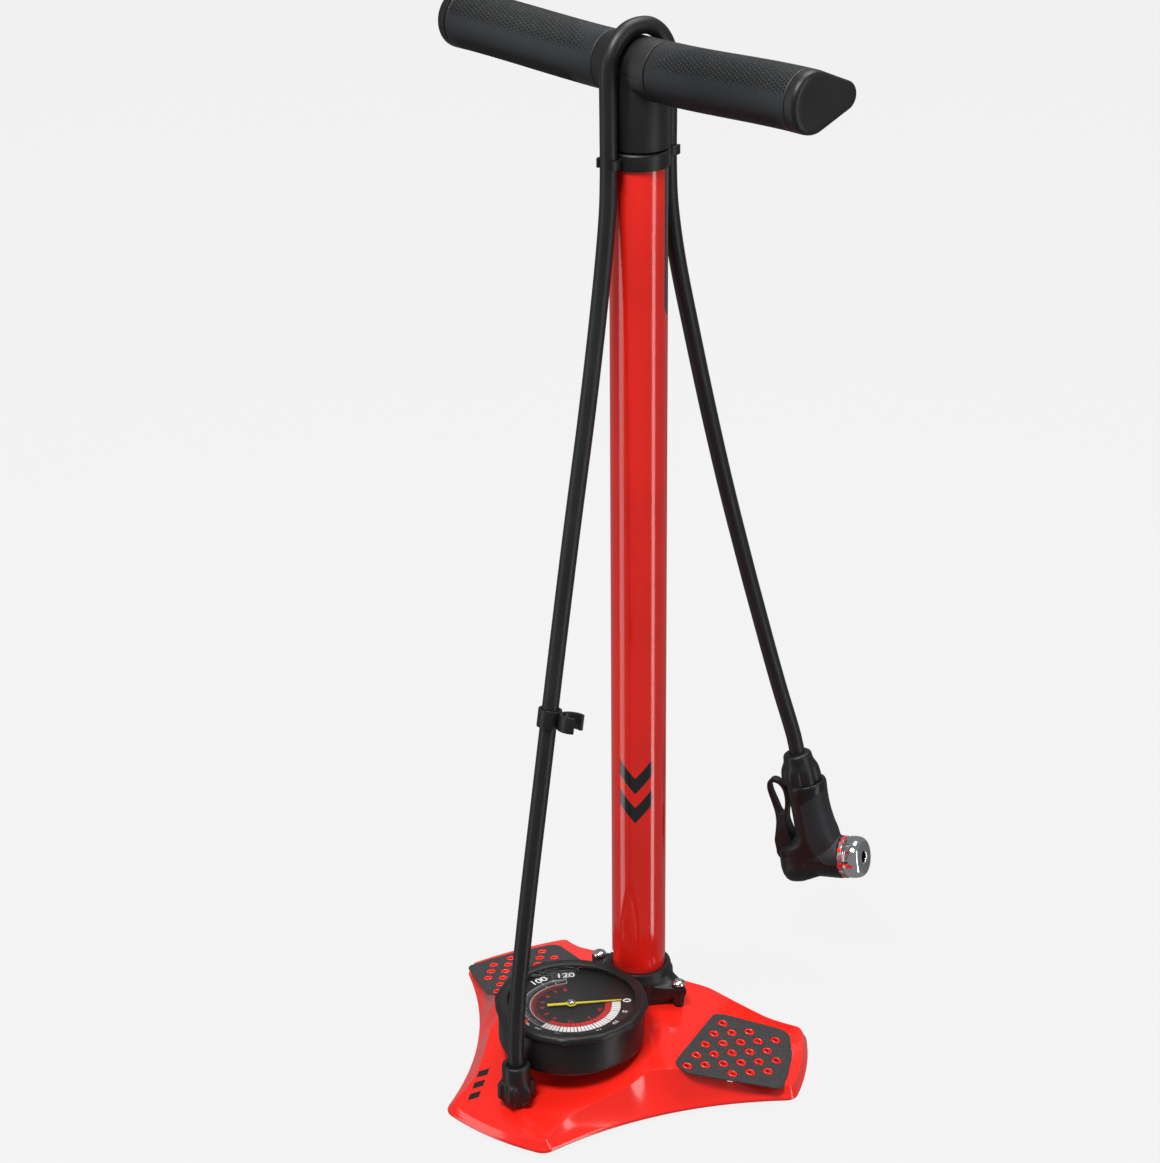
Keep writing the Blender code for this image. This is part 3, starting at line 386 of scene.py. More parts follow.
def make_grip(colours):
    """Soft handle covering; rows of small dimples fade in over the top of each grip, each painted
    dark inside as shade.
    """
    f = Finish("grip_covering")
    place = f.place()
    uv = f.node("ShaderNodeTexCoord", out="UV")
    u, v, _ = f.axes(uv)
    rows = 50.0
    columns = 48.0
    column = v * columns
    odd = (column.maths("FLOOR") / 2.0).maths("FRACT")
    row = u * rows + odd
    dx = column.maths("FRACT") - 0.5
    dy = row.maths("FRACT") - 0.5
    near = (dx * dx + dy * dy * 0.9).maths("SQRT")
    hole = f.between(near, 0.29, 0.40, 1.0, 0.0)
    top = f.between(u, 0.09, 0.12) * f.between(u, 0.42, 0.46, 1.0, 0.0)
    grown = f.between(v + (u - 0.20) * 0.9, 0.22, 0.34) * f.between(v, 0.965, 0.975, 1.0, 0.0)
    dimples = hole * top * grown
    drift = f.noise(place, 26.0, 3.0)
    pores = f.noise(place, 1700.0, 2.0)
    skin = f.blend(f.spread(drift), tuned(colours.grip, 0.88), tuned(colours.grip, 1.15))
    # Inside each dimple the colour is painted almost black: painted shade in the holes, which the
    # bump below also presses in.
    shade = f.blend(dimples, skin, tuned(colours.grip, 0.10))
    rough = f.spread(pores * 0.6 + drift * 0.4, 0.44, 0.56)
    fine = f.bump(pores, 0.000015)
    return f.surface(shade, rough, 0.0, f.bump(1.0 - dimples, 0.00060, fine),
                     specular_ior_level=0.42)


def make_grit():
    """Coarse black anti-slip sheet with a few pale specks painted on its grains as glints."""
    f = Finish("grit_sheet_face")
    place = f.place()
    grains = f.noise(place, 1400.0, 4.0, 0.7)
    clumps = f.noise(place, 260.0, 3.0)
    # Small pale specks where cells and clumps meet: painted glints of the grit grains, not a colour
    # of their own.
    painted_glint_cells = f.cells(place, 900.0)
    bright = f.between(painted_glint_cells, 0.05, 0.12, 1.0, 0.0) * f.between(clumps, 0.5, 0.62)
    dark = f.blend(f.between(grains, 0.35, 0.7), (0.010, 0.010, 0.010), (0.060, 0.058, 0.058))
    shade = f.blend(bright * 0.8, dark, (0.40, 0.38, 0.38))
    return f.surface(shade, f.spread(grains, 0.75, 0.95), 0.0,
                     f.bump(grains * 0.7 + clumps * 0.3, 0.00035))


def make_metal(name, colour, rough_low, rough_high, brush=(1, 1, 1), depth=0.000004, scale=900.0):
    """Metal with a fine finish; brush stretches the marks along an axis."""
    f = Finish(name)
    place = f.place(scale=brush)
    marks = f.noise(place, scale, 3.0, 0.6)
    drift = f.noise(f.place(), 60.0, 2.0)
    shade = f.blend(f.spread(drift), tuned(colour, 0.86), colour)
    rough = f.spread(marks * 0.6 + drift * 0.4, rough_low, rough_high)
    return f.surface(shade, rough, 1.0, f.bump(marks, depth))


def make_print(name, colour, rough):
    """Screen-printed ink."""
    f = Finish(name)
    place = f.place()
    ink = f.noise(place, 1800.0, 2.0)
    shade = f.blend(f.spread(ink), tuned(colour, 0.90), colour)
    return f.surface(shade, f.spread(ink, rough, rough + 0.12), 0.0,
                     f.bump(ink, 0.000006))


def make_window():
    """Clear gauge window: see-through face on, mirror-like at low angles."""
    f = Finish("clear_window")
    slant = f.node("ShaderNodeLayerWeight", {}, {"Blend": 0.5}, "Facing")
    haze = f.noise(f.place(), 90.0, 3.0)
    f.feed(f.shader.inputs["Alpha"], slant.maths("POWER", 5.0) * 0.35 + 0.006)
    rough = f.spread(haze, 0.02, 0.045)
    return f.surface((0.97, 0.98, 1.0), rough, 1.0)


def make_shell(colours):
    """Glossier black plastic with a softer, paler panel let into each side of the chuck."""
    f = Finish("chuck_moulding")
    place = f.place()
    from_top = f.node("ShaderNodeVectorMath", {"operation": "SUBTRACT"}, (place, CHUCK_AT))
    x, z = (f.node("ShaderNodeVectorMath", {"operation": "DOT_PRODUCT"}, (from_top, way), "Value")
            for way in (NOSE_WAY, HOSE_WAY))
    far = ((0.0160 - x) / 0.0150).maths("MAXIMUM", 0.0).maths("MINIMUM", 1.0)
    low = (1.0 - far * far).maths("SQRT") * -0.0215 - 0.0560
    high = (x - 0.0021) * 0.52 - 0.0335
    edge = 0.00015
    panel = (f.between(x, 0.0010 - edge, 0.0010 + edge) * f.between(z - low, -edge, edge)
             * f.between(high - z, -edge, edge))
    grain = f.cells(place, 1500.0)
    drift = f.noise(place, 40.0, 3.0)
    hard = f.blend(f.spread(drift), tuned(colours.moulding, 0.5),
                   tuned(colours.moulding, 0.8))
    shade = f.blend(panel, hard, tuned(colours.grip, 1.25))
    rough = f.between(drift * 0.6 + grain * 0.4, 0.2, 0.7, 0.30, 0.40) + panel * 0.20
    fine = f.bump(grain, 0.000018)
    return f.surface(shade, rough, 0.0, f.bump(1.0 - panel, 0.00025, fine),
                     specular_ior_level=0.42)


def make_lever_ring(colours):
    """Red ring with bright worn ribs along the nose."""
    f = Finish("ribbed_red_ring")
    place = f.place()
    worn = f.noise(place, 520.0, 3.0)
    patch = f.noise(place, 240.0, 2.0)
    share = f.between(worn * 0.5 + patch * 0.5, 0.50, 0.56)
    shade = f.blend(share, tuned(colours.dial_red, 1.2), (0.50, 0.50, 0.52))
    return f.surface(shade, f.spread(worn, 0.22, 0.36), share, f.bump(worn, 0.000010))


def make_finishes(colours):
    FINISHES.update({
        "enamel": make_enamel(colours),
        "barrel": make_barrel_enamel(colours),
        "plate": make_plate_enamel(colours),
        "moulding": make_moulding(colours),
        "rubber": make_rubber(colours),
        "grip": make_grip(colours),
        "grit": make_grit(),
        "chrome": make_metal("bright_chrome", (0.86, 0.87, 0.88), 0.05, 0.12),
        "face": make_metal("ground_nose_face", (0.50, 0.51, 0.53), 0.30, 0.42),
        "steel": make_metal("ground_steel", (0.62, 0.62, 0.63), 0.18, 0.32, (1, 1, 0.06)),
        "brass": make_metal("turned_brass", (0.74, 0.52, 0.20), 0.20, 0.34, (1, 1, 4.0)),
        "dial": make_print("dial_black", (0.012, 0.012, 0.013), 0.38),
        "ink_white": make_print("dial_white_ink", (0.80, 0.79, 0.78), 0.45),
        "ink_grey": make_print("dial_grey_ink", (0.30, 0.30, 0.31), 0.45),
        "ink_red": make_print("dial_red_ink", tuple(colours.dial_red), 0.45),
        "needle": make_print("needle_yellow_paint", tuple(colours.needle), 0.32),
        "marker": make_print("marker_red_plastic", tuple(colours.dial_red), 0.30),
        "ring": make_lever_ring(colours),
        "shell": make_shell(colours),
        "window": make_window(),
    })


# ---------------------------------------------------------------- modelling
def clear_selection():
    if bpy.context.object and bpy.context.object.mode != "OBJECT":
        bpy.ops.object.mode_set(mode="OBJECT")
    bpy.ops.object.select_all(action="DESELECT")


def hold(piece):
    """Selects one object on its own and makes it active."""
    clear_selection()
    piece.select_set(True)
    bpy.context.view_layer.objects.active = piece


def edit(piece):
    hold(piece)
    bpy.ops.object.mode_set(mode="EDIT")
    bpy.ops.mesh.select_all(action="SELECT")


def closed_up(piece, fill=True, merge=1e-6):
    """Merges doubles, fills open ends and turns every face outwards."""
    edit(piece)
    bpy.ops.mesh.remove_doubles(threshold=merge)
    if fill:
        bpy.ops.mesh.select_all(action="DESELECT")
        bpy.ops.mesh.select_mode(type="EDGE")
        bpy.ops.mesh.select_non_manifold(use_wire=False, use_multi_face=False,
                                         use_non_contiguous=False, use_verts=False)
        bpy.ops.mesh.fill_holes(sides=0)
        bpy.ops.mesh.select_mode(type="VERT")
        bpy.ops.mesh.select_all(action="SELECT")
    bpy.ops.mesh.normals_make_consistent(inside=False)
    bpy.ops.object.mode_set(mode="OBJECT")
    return piece


def turned(profile, sides, closed=False):
    """Extrudes a circle about Z from each (radius, height) to the next."""
    clear_selection()
    radius, height = profile[0]
    bpy.ops.mesh.primitive_circle_add(vertices=sides, radius=radius, location=(0, 0, height))
    bpy.ops.object.transform_apply(location=True, rotation=True, scale=True)
    piece = bpy.context.object
    bpy.ops.object.mode_set(mode="EDIT")
    bpy.ops.mesh.select_all(action="SELECT")
    for next_radius, next_height in profile[1:] + (profile[:1] if closed else []):
        bpy.ops.mesh.extrude_region_move(
            TRANSFORM_OT_translate={"value": (0, 0, next_height - height)})
        share = next_radius / radius
        bpy.ops.transform.resize(value=(share, share, 1), center_override=(0, 0, next_height))
        radius, height = next_radius, next_height
    return closed_up(piece, fill=not closed)


def wrapped(rings, closed=False):
    """A grid wrapped onto rings of points, all with the same number of points."""
    clear_selection()
    around = len(rings[0])
    rings = rings + (rings[:1] if closed else [])
    along = len(rings) - 1
    bpy.ops.mesh.primitive_grid_add(x_subdivisions=around, y_subdivisions=along, size=1.0,
                                    calc_uvs=True)
    piece = bpy.context.object
    for vert in piece.data.vertices:
        column = round((vert.co.x + 0.5) * around)
        row = round((vert.co.y + 0.5) * along)
        vert.co = rings[row][column % around]
    return closed_up(piece, fill=not closed)


def plate(outline, low, high):
    """A flat outline extruded from one height to another."""
    clear_selection()
    bpy.ops.mesh.primitive_circle_add(vertices=len(outline), fill_type="NGON")
    piece = bpy.context.object
    for vert, point in zip(piece.data.vertices, outline):
        vert.co = (point[0], point[1], low)
    edit(piece)
    bpy.ops.mesh.extrude_region_move(TRANSFORM_OT_translate={"value": (0, 0, high - low)})
    bpy.ops.object.mode_set(mode="OBJECT")
    return closed_up(piece, fill=False)


def put(piece, matrix):
    piece.data.transform(matrix)
    return piece


def loop(count, height, reach):
    """Points round Z at one height; reach gives the radius at each angle."""
    found = []
    for i in range(count):
        a = 2 * math.pi * i / count
        r = reach(a)
        found.append((r * math.cos(a), r * math.sin(a), height))
    return found


def modified(piece, kind, **values):
    """Applies one modifier with these settings."""
    hold(piece)
    change = piece.modifiers.new("change", kind)
    for name, value in values.items():
        setattr(change, name, value)
    bpy.ops.object.modifier_apply(modifier=change.name)
    return piece


def bevelled(piece, width, segments=3, angle=30.0):
    """Rounds the edges sharper than angle."""
    return modified(piece, "BEVEL", width=width, segments=segments, limit_method="ANGLE",
                    angle_limit=math.radians(angle), use_clamp_overlap=True)


def combined(piece, other, operation):
    """Joins or cuts a piece with another, which is used up."""
    modified(piece, "BOOLEAN", operation=operation, solver="EXACT", object=other)
    bpy.data.objects.remove(other, do_unlink=True)
    return piece


def drilled(piece, radius, low, high, sides, at=Matrix.Identity(4)):
    """Cuts a round hole along Z, moved and turned by a matrix, out of a piece."""
    drill = turned([(radius, low), (radius, high)], sides)
    return combined(piece, put(drill, at), "DIFFERENCE")


def gathered(pieces):
    """Several pieces made one mesh."""
    clear_selection()
    for piece in pieces:
        piece.select_set(True)
    bpy.context.view_layer.objects.active = pieces[0]
    bpy.ops.object.join()
    return bpy.context.object


def copied(piece, matrix):
    """A copy with its own mesh, moved by matrix."""
    made = bpy.data.objects.new(piece.name, piece.data.copy())
    bpy.context.scene.collection.objects.link(made)
    return put(made, matrix)


def refined(node, width, segments=3, angle=30.0, flat=1.0):
    """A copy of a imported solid, its triangles merged and its edges rounded."""
    clear_selection()
    made = bpy.data.objects.new(node + "_shape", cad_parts[node].data.copy())
    bpy.context.scene.collection.objects.link(made)
    made.data.materials.clear()
    hold(made)
    if made.data.has_custom_normals:
        bpy.ops.mesh.customdata_custom_splitnormals_clear()
    edit(made)
    bpy.ops.mesh.remove_doubles(threshold=0.00002)
    bpy.ops.mesh.mark_sharp(clear=True)
    bpy.ops.mesh.dissolve_limited(angle_limit=math.radians(flat), use_dissolve_boundaries=False)
    bpy.ops.object.mode_set(mode="OBJECT")
    if width > 0:
        bevelled(made, width, segments, angle)
    return made


def dress(piece, *finish_names):
    """Gives a piece these finishes and no others."""
    piece.data.materials.clear()
    for name in finish_names:
        piece.data.materials.append(FINISHES[name])


def done(piece, name, finish_name, slot, body, *nodes, smooth=35.0, more=()):
    """Names, shades and dresses a piece, parents it to its body's empty when it has one, and hides
    the solids it stands for.
    """
    piece.name = name
    piece.data.name = name
    dress(piece, finish_name, *more)
    hold(piece)
    bpy.ops.object.shade_smooth_by_angle(angle=math.radians(smooth))
    if body is not None:
        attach(piece, body)
    if nodes:
        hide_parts(*nodes)
    return piece


def rounded(points, radius, steps=4, closed=False):
    """The same profile with each corner replaced by a small arc."""
    found = []
    count = len(points)
    for i, here in enumerate(points):
        if not closed and i in (0, count - 1):
            found.append(tuple(here))
            continue
        here = Vector(here)
        before = Vector(points[i - 1])
        after = Vector(points[(i + 1) % count])
        reach = min(radius, (before - here).length * 0.45, (after - here).length * 0.45)
        start = here + (before - here).normalized() * reach
        end = here + (after - here).normalized() * reach
        for k in range(steps + 1):
            t = k / steps
            spot = start * (1 - t) ** 2 + here * 2 * t * (1 - t) + end * t * t
            found.append((spot.x, spot.y))
    return found


def smooth_step(t):
    t = max(0.0, min(1.0, t))
    return t * t * (3 - 2 * t)


def spline(before, start, end, after, t):
    """A point of a smooth curve from start to end, led by the points on either side."""
    return 0.5 * (2 * start + (end - before) * t
                  + (2 * before - 5 * start + 4 * end - after) * t * t
                  + (3 * start - before - 3 * end + after) * t ** 3)


# ---------------------------------------------------------------- operators
def settings(context):
    return context.scene.floor_pump_sizes


class FLOORPUMP_OT_stage(bpy.types.Operator):
    """Floor, soft studio lights and the camera"""

    bl_idname = "floor_pump.stage"
    bl_label = "Stage"

    def execute(self, context):
        clear_selection()
        bpy.ops.mesh.primitive_plane_add(size=60.0)
        floor = context.object
        floor.name = "studio_floor"
        sweep = bpy.data.materials.new("studio_floor_white")
        sweep.use_nodes = True
        tree = sweep.node_tree
        shader = tree.nodes["Principled BSDF"]
        shader.inputs["Base Color"].default_value = (0.84, 0.84, 0.84, 1.0)
        shader.inputs["Roughness"].default_value = 0.9
        shader.inputs["Specular IOR Level"].default_value = 0.1
        glow = tree.nodes.new("ShaderNodeEmission")
        glow.inputs["Color"].default_value = (0.893, 0.893, 0.893, 1.0)
        both = tree.nodes.new("ShaderNodeMixShader")
        both.inputs[0].default_value = 0.97
        tree.links.new(shader.outputs[0], both.inputs[1])
        tree.links.new(glow.outputs[0], both.inputs[2])
        tree.links.new(both.outputs[0], tree.nodes["Material Output"].inputs["Surface"])
        floor.data.materials.append(sweep)
        floor.visible_glossy = False
        floor.visible_diffuse = False

        world = bpy.data.worlds.new("studio_air")
        world.use_nodes = True
        air = world.node_tree.nodes["Background"]
        air.inputs["Color"].default_value = (0.92, 0.93, 0.95, 1.0)
        air.inputs["Strength"].default_value = 0.24
        context.scene.world = world

        middle = Vector((0.0, 0.0, 0.34))
        camera_turn = math.radians(35.51)
        lamps = (
            # name, turn from the camera in degrees, height, distance, width, depth, power
            ("left_softbox", -74.0, 0.10, 1.9, 0.70, 3.4, 16.0),
            ("right_softbox", 63.0, 0.10, 1.8, 0.42, 3.4, 19.0),
            ("front_softbox", -30.0, 2.9, 1.3, 1.0, 0.8, 84.0),
            ("top_softbox", 150.0, 2.4, 0.9, 1.2, 1.2, 32.0),
        )
        for name, turn, height, distance, wide, tall, power in lamps:
            light = bpy.data.lights.new(name, "AREA")
            light.shape = "RECTANGLE"
            light.size = wide
            light.size_y = tall
            light.energy = power
            lamp = bpy.data.objects.new(name, light)
            context.scene.collection.objects.link(lamp)
            a = camera_turn - math.pi / 2 + math.radians(turn)
            lamp.location = (distance * math.cos(a), distance * math.sin(a), height)
            lamp.rotation_euler = (middle - lamp.location).to_track_quat("-Z", "Y").to_euler()

        lens = bpy.data.cameras.new("view")
        lens.lens = 89.25
        lens.sensor_width = 36.0
        lens.sensor_fit = "AUTO"
        lens.shift_x = -0.0504
        camera = bpy.data.objects.new("view", lens)
        context.scene.collection.objects.link(camera)
        camera.location = (0.9537, AXIS_Y - 1.3366, 1.0503)
        camera.rotation_euler = (math.radians(66.18), 0.0, camera_turn)
        context.scene.camera = camera
        context.scene.view_settings.view_transform = "Standard"
        return {"FINISHED"}


class FLOORPUMP_OT_barrel(bpy.types.Operator):
    """Steel barrel with its painted stripe and chevrons"""

    bl_idname = "floor_pump.barrel"
    bl_label = "Barrel"

    def execute(self, context):
        low, high = BARREL_LOW.z, BARREL_HIGH.z
        inner = BARREL_RADIUS - 0.0015
        profile = [(inner, low), (BARREL_RADIUS, low)]
        profile += [(BARREL_RADIUS, low + (high - low) * i / 12) for i in range(1, 12)]
        profile += [(BARREL_RADIUS, high), (inner, high)]
        tube = turned(rounded(profile, 0.0003, 2), settings(context).barrel_sides, closed=True)
        done(put(tube, TO_BARREL), "barrel", "barrel", "red_paint", "pump_body", "barrel_tube")
        return {"FINISHED"}


# Plan of the foot plate, from the barrel's axis.
STAR_Y = -0.042
FRONT_EDGE = -0.1555
FRONT_HALF = 0.040
SIDE_NEAR = (0.134, -0.0155)
SIDE_FAR = (0.0986, 0.0523)
SIDE_ANGLE = math.radians(27.0)
SIDE_REACH = 0.131
FOOT_TOP = 0.0100
SIDE_SLOPE = 0.245
FRONT_SLOPE = 0.22
HUB_TOP = 0.0300
SHEET = 0.0018
RIM_TOP = (0.0009, 0.0052)       # where the skirt leaves the rim: inset and height
SKIRT_AT_FEET = 0.0030
SKIRT_BETWEEN = 0.0070           # added to the skirt's width between two feet
SKIRT_AT_WAIST = 0.0060          # and added once more half-way, clear of the grip sheets
SCREW_OUT = 0.032                # the collar's screws, from the barrel's axis


def side_plane(x, y):
    reach = abs(x) * math.cos(SIDE_ANGLE) + (y - STAR_Y) * math.sin(SIDE_ANGLE)
    return FOOT_TOP + SIDE_SLOPE * (SIDE_REACH - reach)


def panel_height(x, y):
    """Top of the sheet: a flat hub, a front panel and two side panels, softly joined."""
    planes = (side_plane(x, y), FOOT_TOP + FRONT_SLOPE * (y + 0.150), HUB_TOP)
    lowest = min(planes)
    softness = 0.0008
    total = sum(math.exp((lowest - plane) / softness) for plane in planes)
    return lowest - softness * math.log(total)


def star_outline():
    """The plate's outline with short rounded corners, counter-clockwise."""
    near, far = Vector(SIDE_NEAR), Vector(SIDE_FAR)
    corner = Vector((FRONT_HALF, FRONT_EDGE))

    def mirrored(point):
        return Vector((-point.x, point.y))

    corners = [mirrored(corner), corner, near, far, mirrored(far), mirrored(near)]
    sides = [(0.005, 22), (-0.0145, 44), (0.004, 22), (-0.0098, 44), (0.004, 22), (-0.0145, 44)]
    rounding = 0.006
    corner_steps = 7
    runs = []
    for start, end, (bulge, count) in zip(corners, corners[1:] + corners[:1], sides):
        chord = end - start
        outward = Vector((chord.y, -chord.x)).normalized()
        first = rounding / chord.length
        run = []
        for i in range(count):
            t = first + (1 - 2 * first) * i / (count - 1)
            run.append(start + chord * t + outward * bulge * 4 * t * (1 - t))
        runs.append(run)
    outline = []
    for index, run in enumerate(runs):
        outline += run
        bend = corners[(index + 1) % len(corners)]
        following = runs[(index + 1) % len(runs)][0]
        for k in range(1, corner_steps):
            t = k / corner_steps
            outline.append(run[-1] * (1 - t) ** 2 + bend * 2 * t * (1 - t) + following * t * t)
    return outline


def pad_distance(point):
    """Rough distance to a grip sheet, whose own along and across are read as X and Y."""
    spot = Vector((abs(point.x), point.y))
    nearest = 1.0
    for i, start in enumerate(PAD_OUTLINE):
        a, b = Vector(start), Vector(PAD_OUTLINE[i - 1])
        along = b - a
        share = min(max((spot - a).dot(along) / along.length_squared, 0.0), 1.0)
        nearest = min(nearest, (a + along * share - spot).length)
    return nearest


def plate_rings():
    """Rings of the plate's upper face, from the turned-under rim to the hub."""
    outline = star_outline()
    count = len(outline)
    middle = Vector((0.0, -0.035))
    normals = []
    for i in range(count):
        along = outline[(i + 1) % count] - outline[i - 1]
        normals.append(Vector((-along.y, along.x)).normalized())
    rings = []
    for inset, height in ((0.0014, 0.0022), (0.0006, 0.0025), (0.0001, 0.0031), (0.0, 0.0038),
                          (0.0003, 0.0046), RIM_TOP):
        rings.append([(*(p + n * inset), height) for p, n in zip(outline, normals)])
    crease, skirts = [], []
    for p, n in zip(outline, normals):
        reach = abs(p.x) * math.cos(SIDE_ANGLE) + (p.y - STAR_Y) * math.sin(SIDE_ANGLE)
        from_feet = min(SIDE_REACH + 0.004 - reach, p.y - FRONT_EDGE + 0.004)
        deep = SKIRT_AT_FEET + SKIRT_BETWEEN * smooth_step(from_feet / 0.030)
        clear = smooth_step((pad_distance(p) - 0.014) / 0.020)
        deep += SKIRT_AT_WAIST * clear * smooth_step((from_feet - 0.064) / 0.018)
        crease.append(p + n * deep)
        skirts.append(deep)
    rim_inset, rim_height = RIM_TOP
    for share in (0.25, 0.50, 0.75, 0.90, 0.97):
        ring = []
        for p, n, c, deep in zip(outline, normals, crease, skirts):
            top = panel_height(*c) - 0.0004
            sag = 0.0010 * smooth_step((deep - 0.003) / 0.005) * 4 * share * (1 - share)
            spot = p + n * (rim_inset + (deep - rim_inset) * share)
            ring.append((*spot, rim_height + (top - rim_height) * share - sag))
        rings.append(ring)
    rings.append([(*(c + n * 0.0002), panel_height(*c) - 0.0001) for c, n in zip(crease, normals)])
    for share in (0.03, 0.08, 0.15, 0.24, 0.34, 0.44, 0.54, 0.64, 0.74, 0.84, 0.93):
        ring = [c.lerp(middle, share) for c in crease]
        rings.append([(*c, panel_height(*c)) for c in ring])
    return rings


PAD_STEP_A = Vector((0.0107, 0.0069))
PAD_STEP_B = Vector((-0.0039, -0.0147))
PAD_FIRST = Vector((0.0782, 0.0134))
PAD_ROWS = ((0, 1), (0, 3), (0, 5), (0, 5), (0, 6), (3, 6))
PAD_HOLE = 0.0036
PAD_OUTLINE = (
    (0.0545, -0.0440), (0.0575, -0.0495), (0.0640, -0.0530), (0.1195, -0.0415),
    (0.1230, -0.0385), (0.1250, -0.0225), (0.1252, 0.0005), (0.1215, 0.0215),
    (0.1185, 0.0252), (0.1140, 0.0262), (0.0765, 0.0240), (0.0710, 0.0205),
)


def pad_holes():
    """Centres of the holes, as distance along the foot and across it."""
    found = []
    for row, (start, end) in enumerate(PAD_ROWS):
        for column in range(start, end):
            found.append(PAD_FIRST + PAD_STEP_A * column + PAD_STEP_B * row)
    return found


def at_holes(piece, *frames):
    """Copies of a piece at every hole of a sheet, in each frame; the piece itself goes."""
    copies = []
    for to_sheet in frames:
        for hole in pad_holes():
            copies.append(copied(piece, to_sheet @ Matrix.Translation((*hole, 0))))
    bpy.data.objects.remove(piece, do_unlink=True)
    return copies


def foot_frame(side):
    """From along, across and lift on a side foot's panel to the pump's axes."""
    tilt = math.atan(SIDE_SLOPE)
    along = Vector((math.cos(SIDE_ANGLE), math.sin(SIDE_ANGLE), 0))
    across = Vector((-math.sin(SIDE_ANGLE), math.cos(SIDE_ANGLE), 0))
    down = along * math.cos(tilt) - Vector((0, 0, math.sin(tilt)))
    lift = down.cross(across)
    mirror = Matrix.Scale(-1, 4, (1, 0, 0)) if side < 0 else Matrix.Identity(4)
    axes = Matrix((down / math.cos(tilt), across, lift)).transposed().to_4x4()
    start = Vector((0, STAR_Y, FOOT_TOP + SIDE_SLOPE * SIDE_REACH))
    return TO_BARREL @ mirror @ Matrix.Translation(start) @ axes


class FLOORPUMP_OT_foot_plate(bpy.types.Operator):
    """Pressed steel foot plate with its flanged holes"""

    bl_idname = "floor_pump.foot_plate"
    bl_label = "Foot plate"

    def execute(self, context):
        base = wrapped(plate_rings())
        # The rim stays open below; the filled underside is taken off again.
        edit(base)
        bpy.ops.mesh.select_all(action="DESELECT")
        bpy.ops.mesh.select_mode(type="FACE")
        bpy.ops.object.mode_set(mode="OBJECT")
        lowest = min(v.co.z for v in base.data.vertices)
        for face in base.data.polygons:
            zs = [base.data.vertices[i].co.z for i in face.vertices]
            face.select = max(zs) < lowest + 0.0001 and len(zs) > 4
        bpy.ops.object.mode_set(mode="EDIT")
        bpy.ops.mesh.delete(type="ONLY_FACE")
        bpy.ops.mesh.select_mode(type="VERT")
        bpy.ops.object.mode_set(mode="OBJECT")
        modified(base, "SOLIDIFY", thickness=SHEET, offset=-1.0, use_even_offset=True)
        put(base, TO_BARREL)
        drill = turned([(0.0021, -0.006), (0.0021, 0.006)], 20)
        drills = at_holes(drill, foot_frame(-1), foot_frame(1))
        passages = ((0.0076, 0.0, 0.0), (0.0050, 0.0, GAUGE_AT.y - AXIS_Y),
                    (0.0052, 0.0, OUTLET_AT.y - AXIS_Y), (0.0022, SCREW_OUT, 0.0),
                    (0.0022, -SCREW_OUT, 0.0))
        for radius, x, y in passages:
            drill = turned([(radius, 0.0), (radius, 0.05)], 32)
            drills.append(put(drill, TO_BARREL @ Matrix.Translation((x, y, 0))))
        cutter = closed_up(gathered(drills), fill=False)
        combined(base, cutter, "DIFFERENCE")
        done(base, "foot_plate", "plate", "red_paint", "pump_body", "base_plate", smooth=30.0)

        lip = rounded([(0.0021, -0.0016), (0.0032, -0.0002), (0.0034, 0.0003), (0.0030, 0.0013),
                       (0.0024, 0.0013), (0.0021, 0.0006)], 0.0004, 2, closed=True)
        lips = at_holes(turned(lip, 20, closed=True), foot_frame(-1), foot_frame(1))
        flanges = closed_up(gathered(lips), fill=False)
        done(flanges, "foot_plate_flanges", "enamel", "red_paint", "pump_body", smooth=50.0)
        return {"FINISHED"}


class FLOORPUMP_OT_grip_sheets(bpy.types.Operator):
    """Grit sheets on the side feet, with a hole round each flange"""

    bl_idname = "floor_pump.grip_sheets"
    bl_label = "Grip sheets"

    def execute(self, context):
        outline = rounded(list(PAD_OUTLINE), 0.004, 4, closed=True)
        for side, word in ((1, "right"), (-1, "left")):
            pad = plate(outline, 0.0003, 0.00105)
            drill = turned([(PAD_HOLE, -0.002), (PAD_HOLE, 0.003)], 24)
            drills = gathered(at_holes(drill, Matrix.Identity(4)))
            combined(pad, closed_up(drills, fill=False), "DIFFERENCE")
            bevelled(pad, 0.00018, 2, 40.0)
            put(pad, foot_frame(side))
            closed_up(pad, fill=False)
            done(pad, "grip_sheet_" + word, "grit", "grit_sheet", "pump_body",
                 "grip_pad_" + word, smooth=40.0)
        return {"FINISHED"}


class FLOORPUMP_OT_feet(bpy.types.Operator):
    """Rubber feet under the plate"""

    bl_idname = "floor_pump.feet"
    bl_label = "Rubber feet"

    def execute(self, context):
        for word in ("front_right", "front_left", "right", "left"):
            node = "rubber_foot_" + word
            low, high, radius = measured(node)
            profile = rounded([(0.0004, low.z), (radius - 0.0006, low.z), (radius, 0.0012),
                               (radius, 0.0040), (radius - 0.0010, 0.0050), (0.0032, 0.0050),
                               (0.0030, high.z), (0.0004, high.z)], 0.0007, 3)
            foot = turned(profile, 48)
            middle = box_middle(node)
            put(foot, Matrix.Translation((middle.x, middle.y, 0)))
            done(foot, "floor_foot_" + word, "rubber", "black_rubber", "pump_body", node)
        return {"FINISHED"}


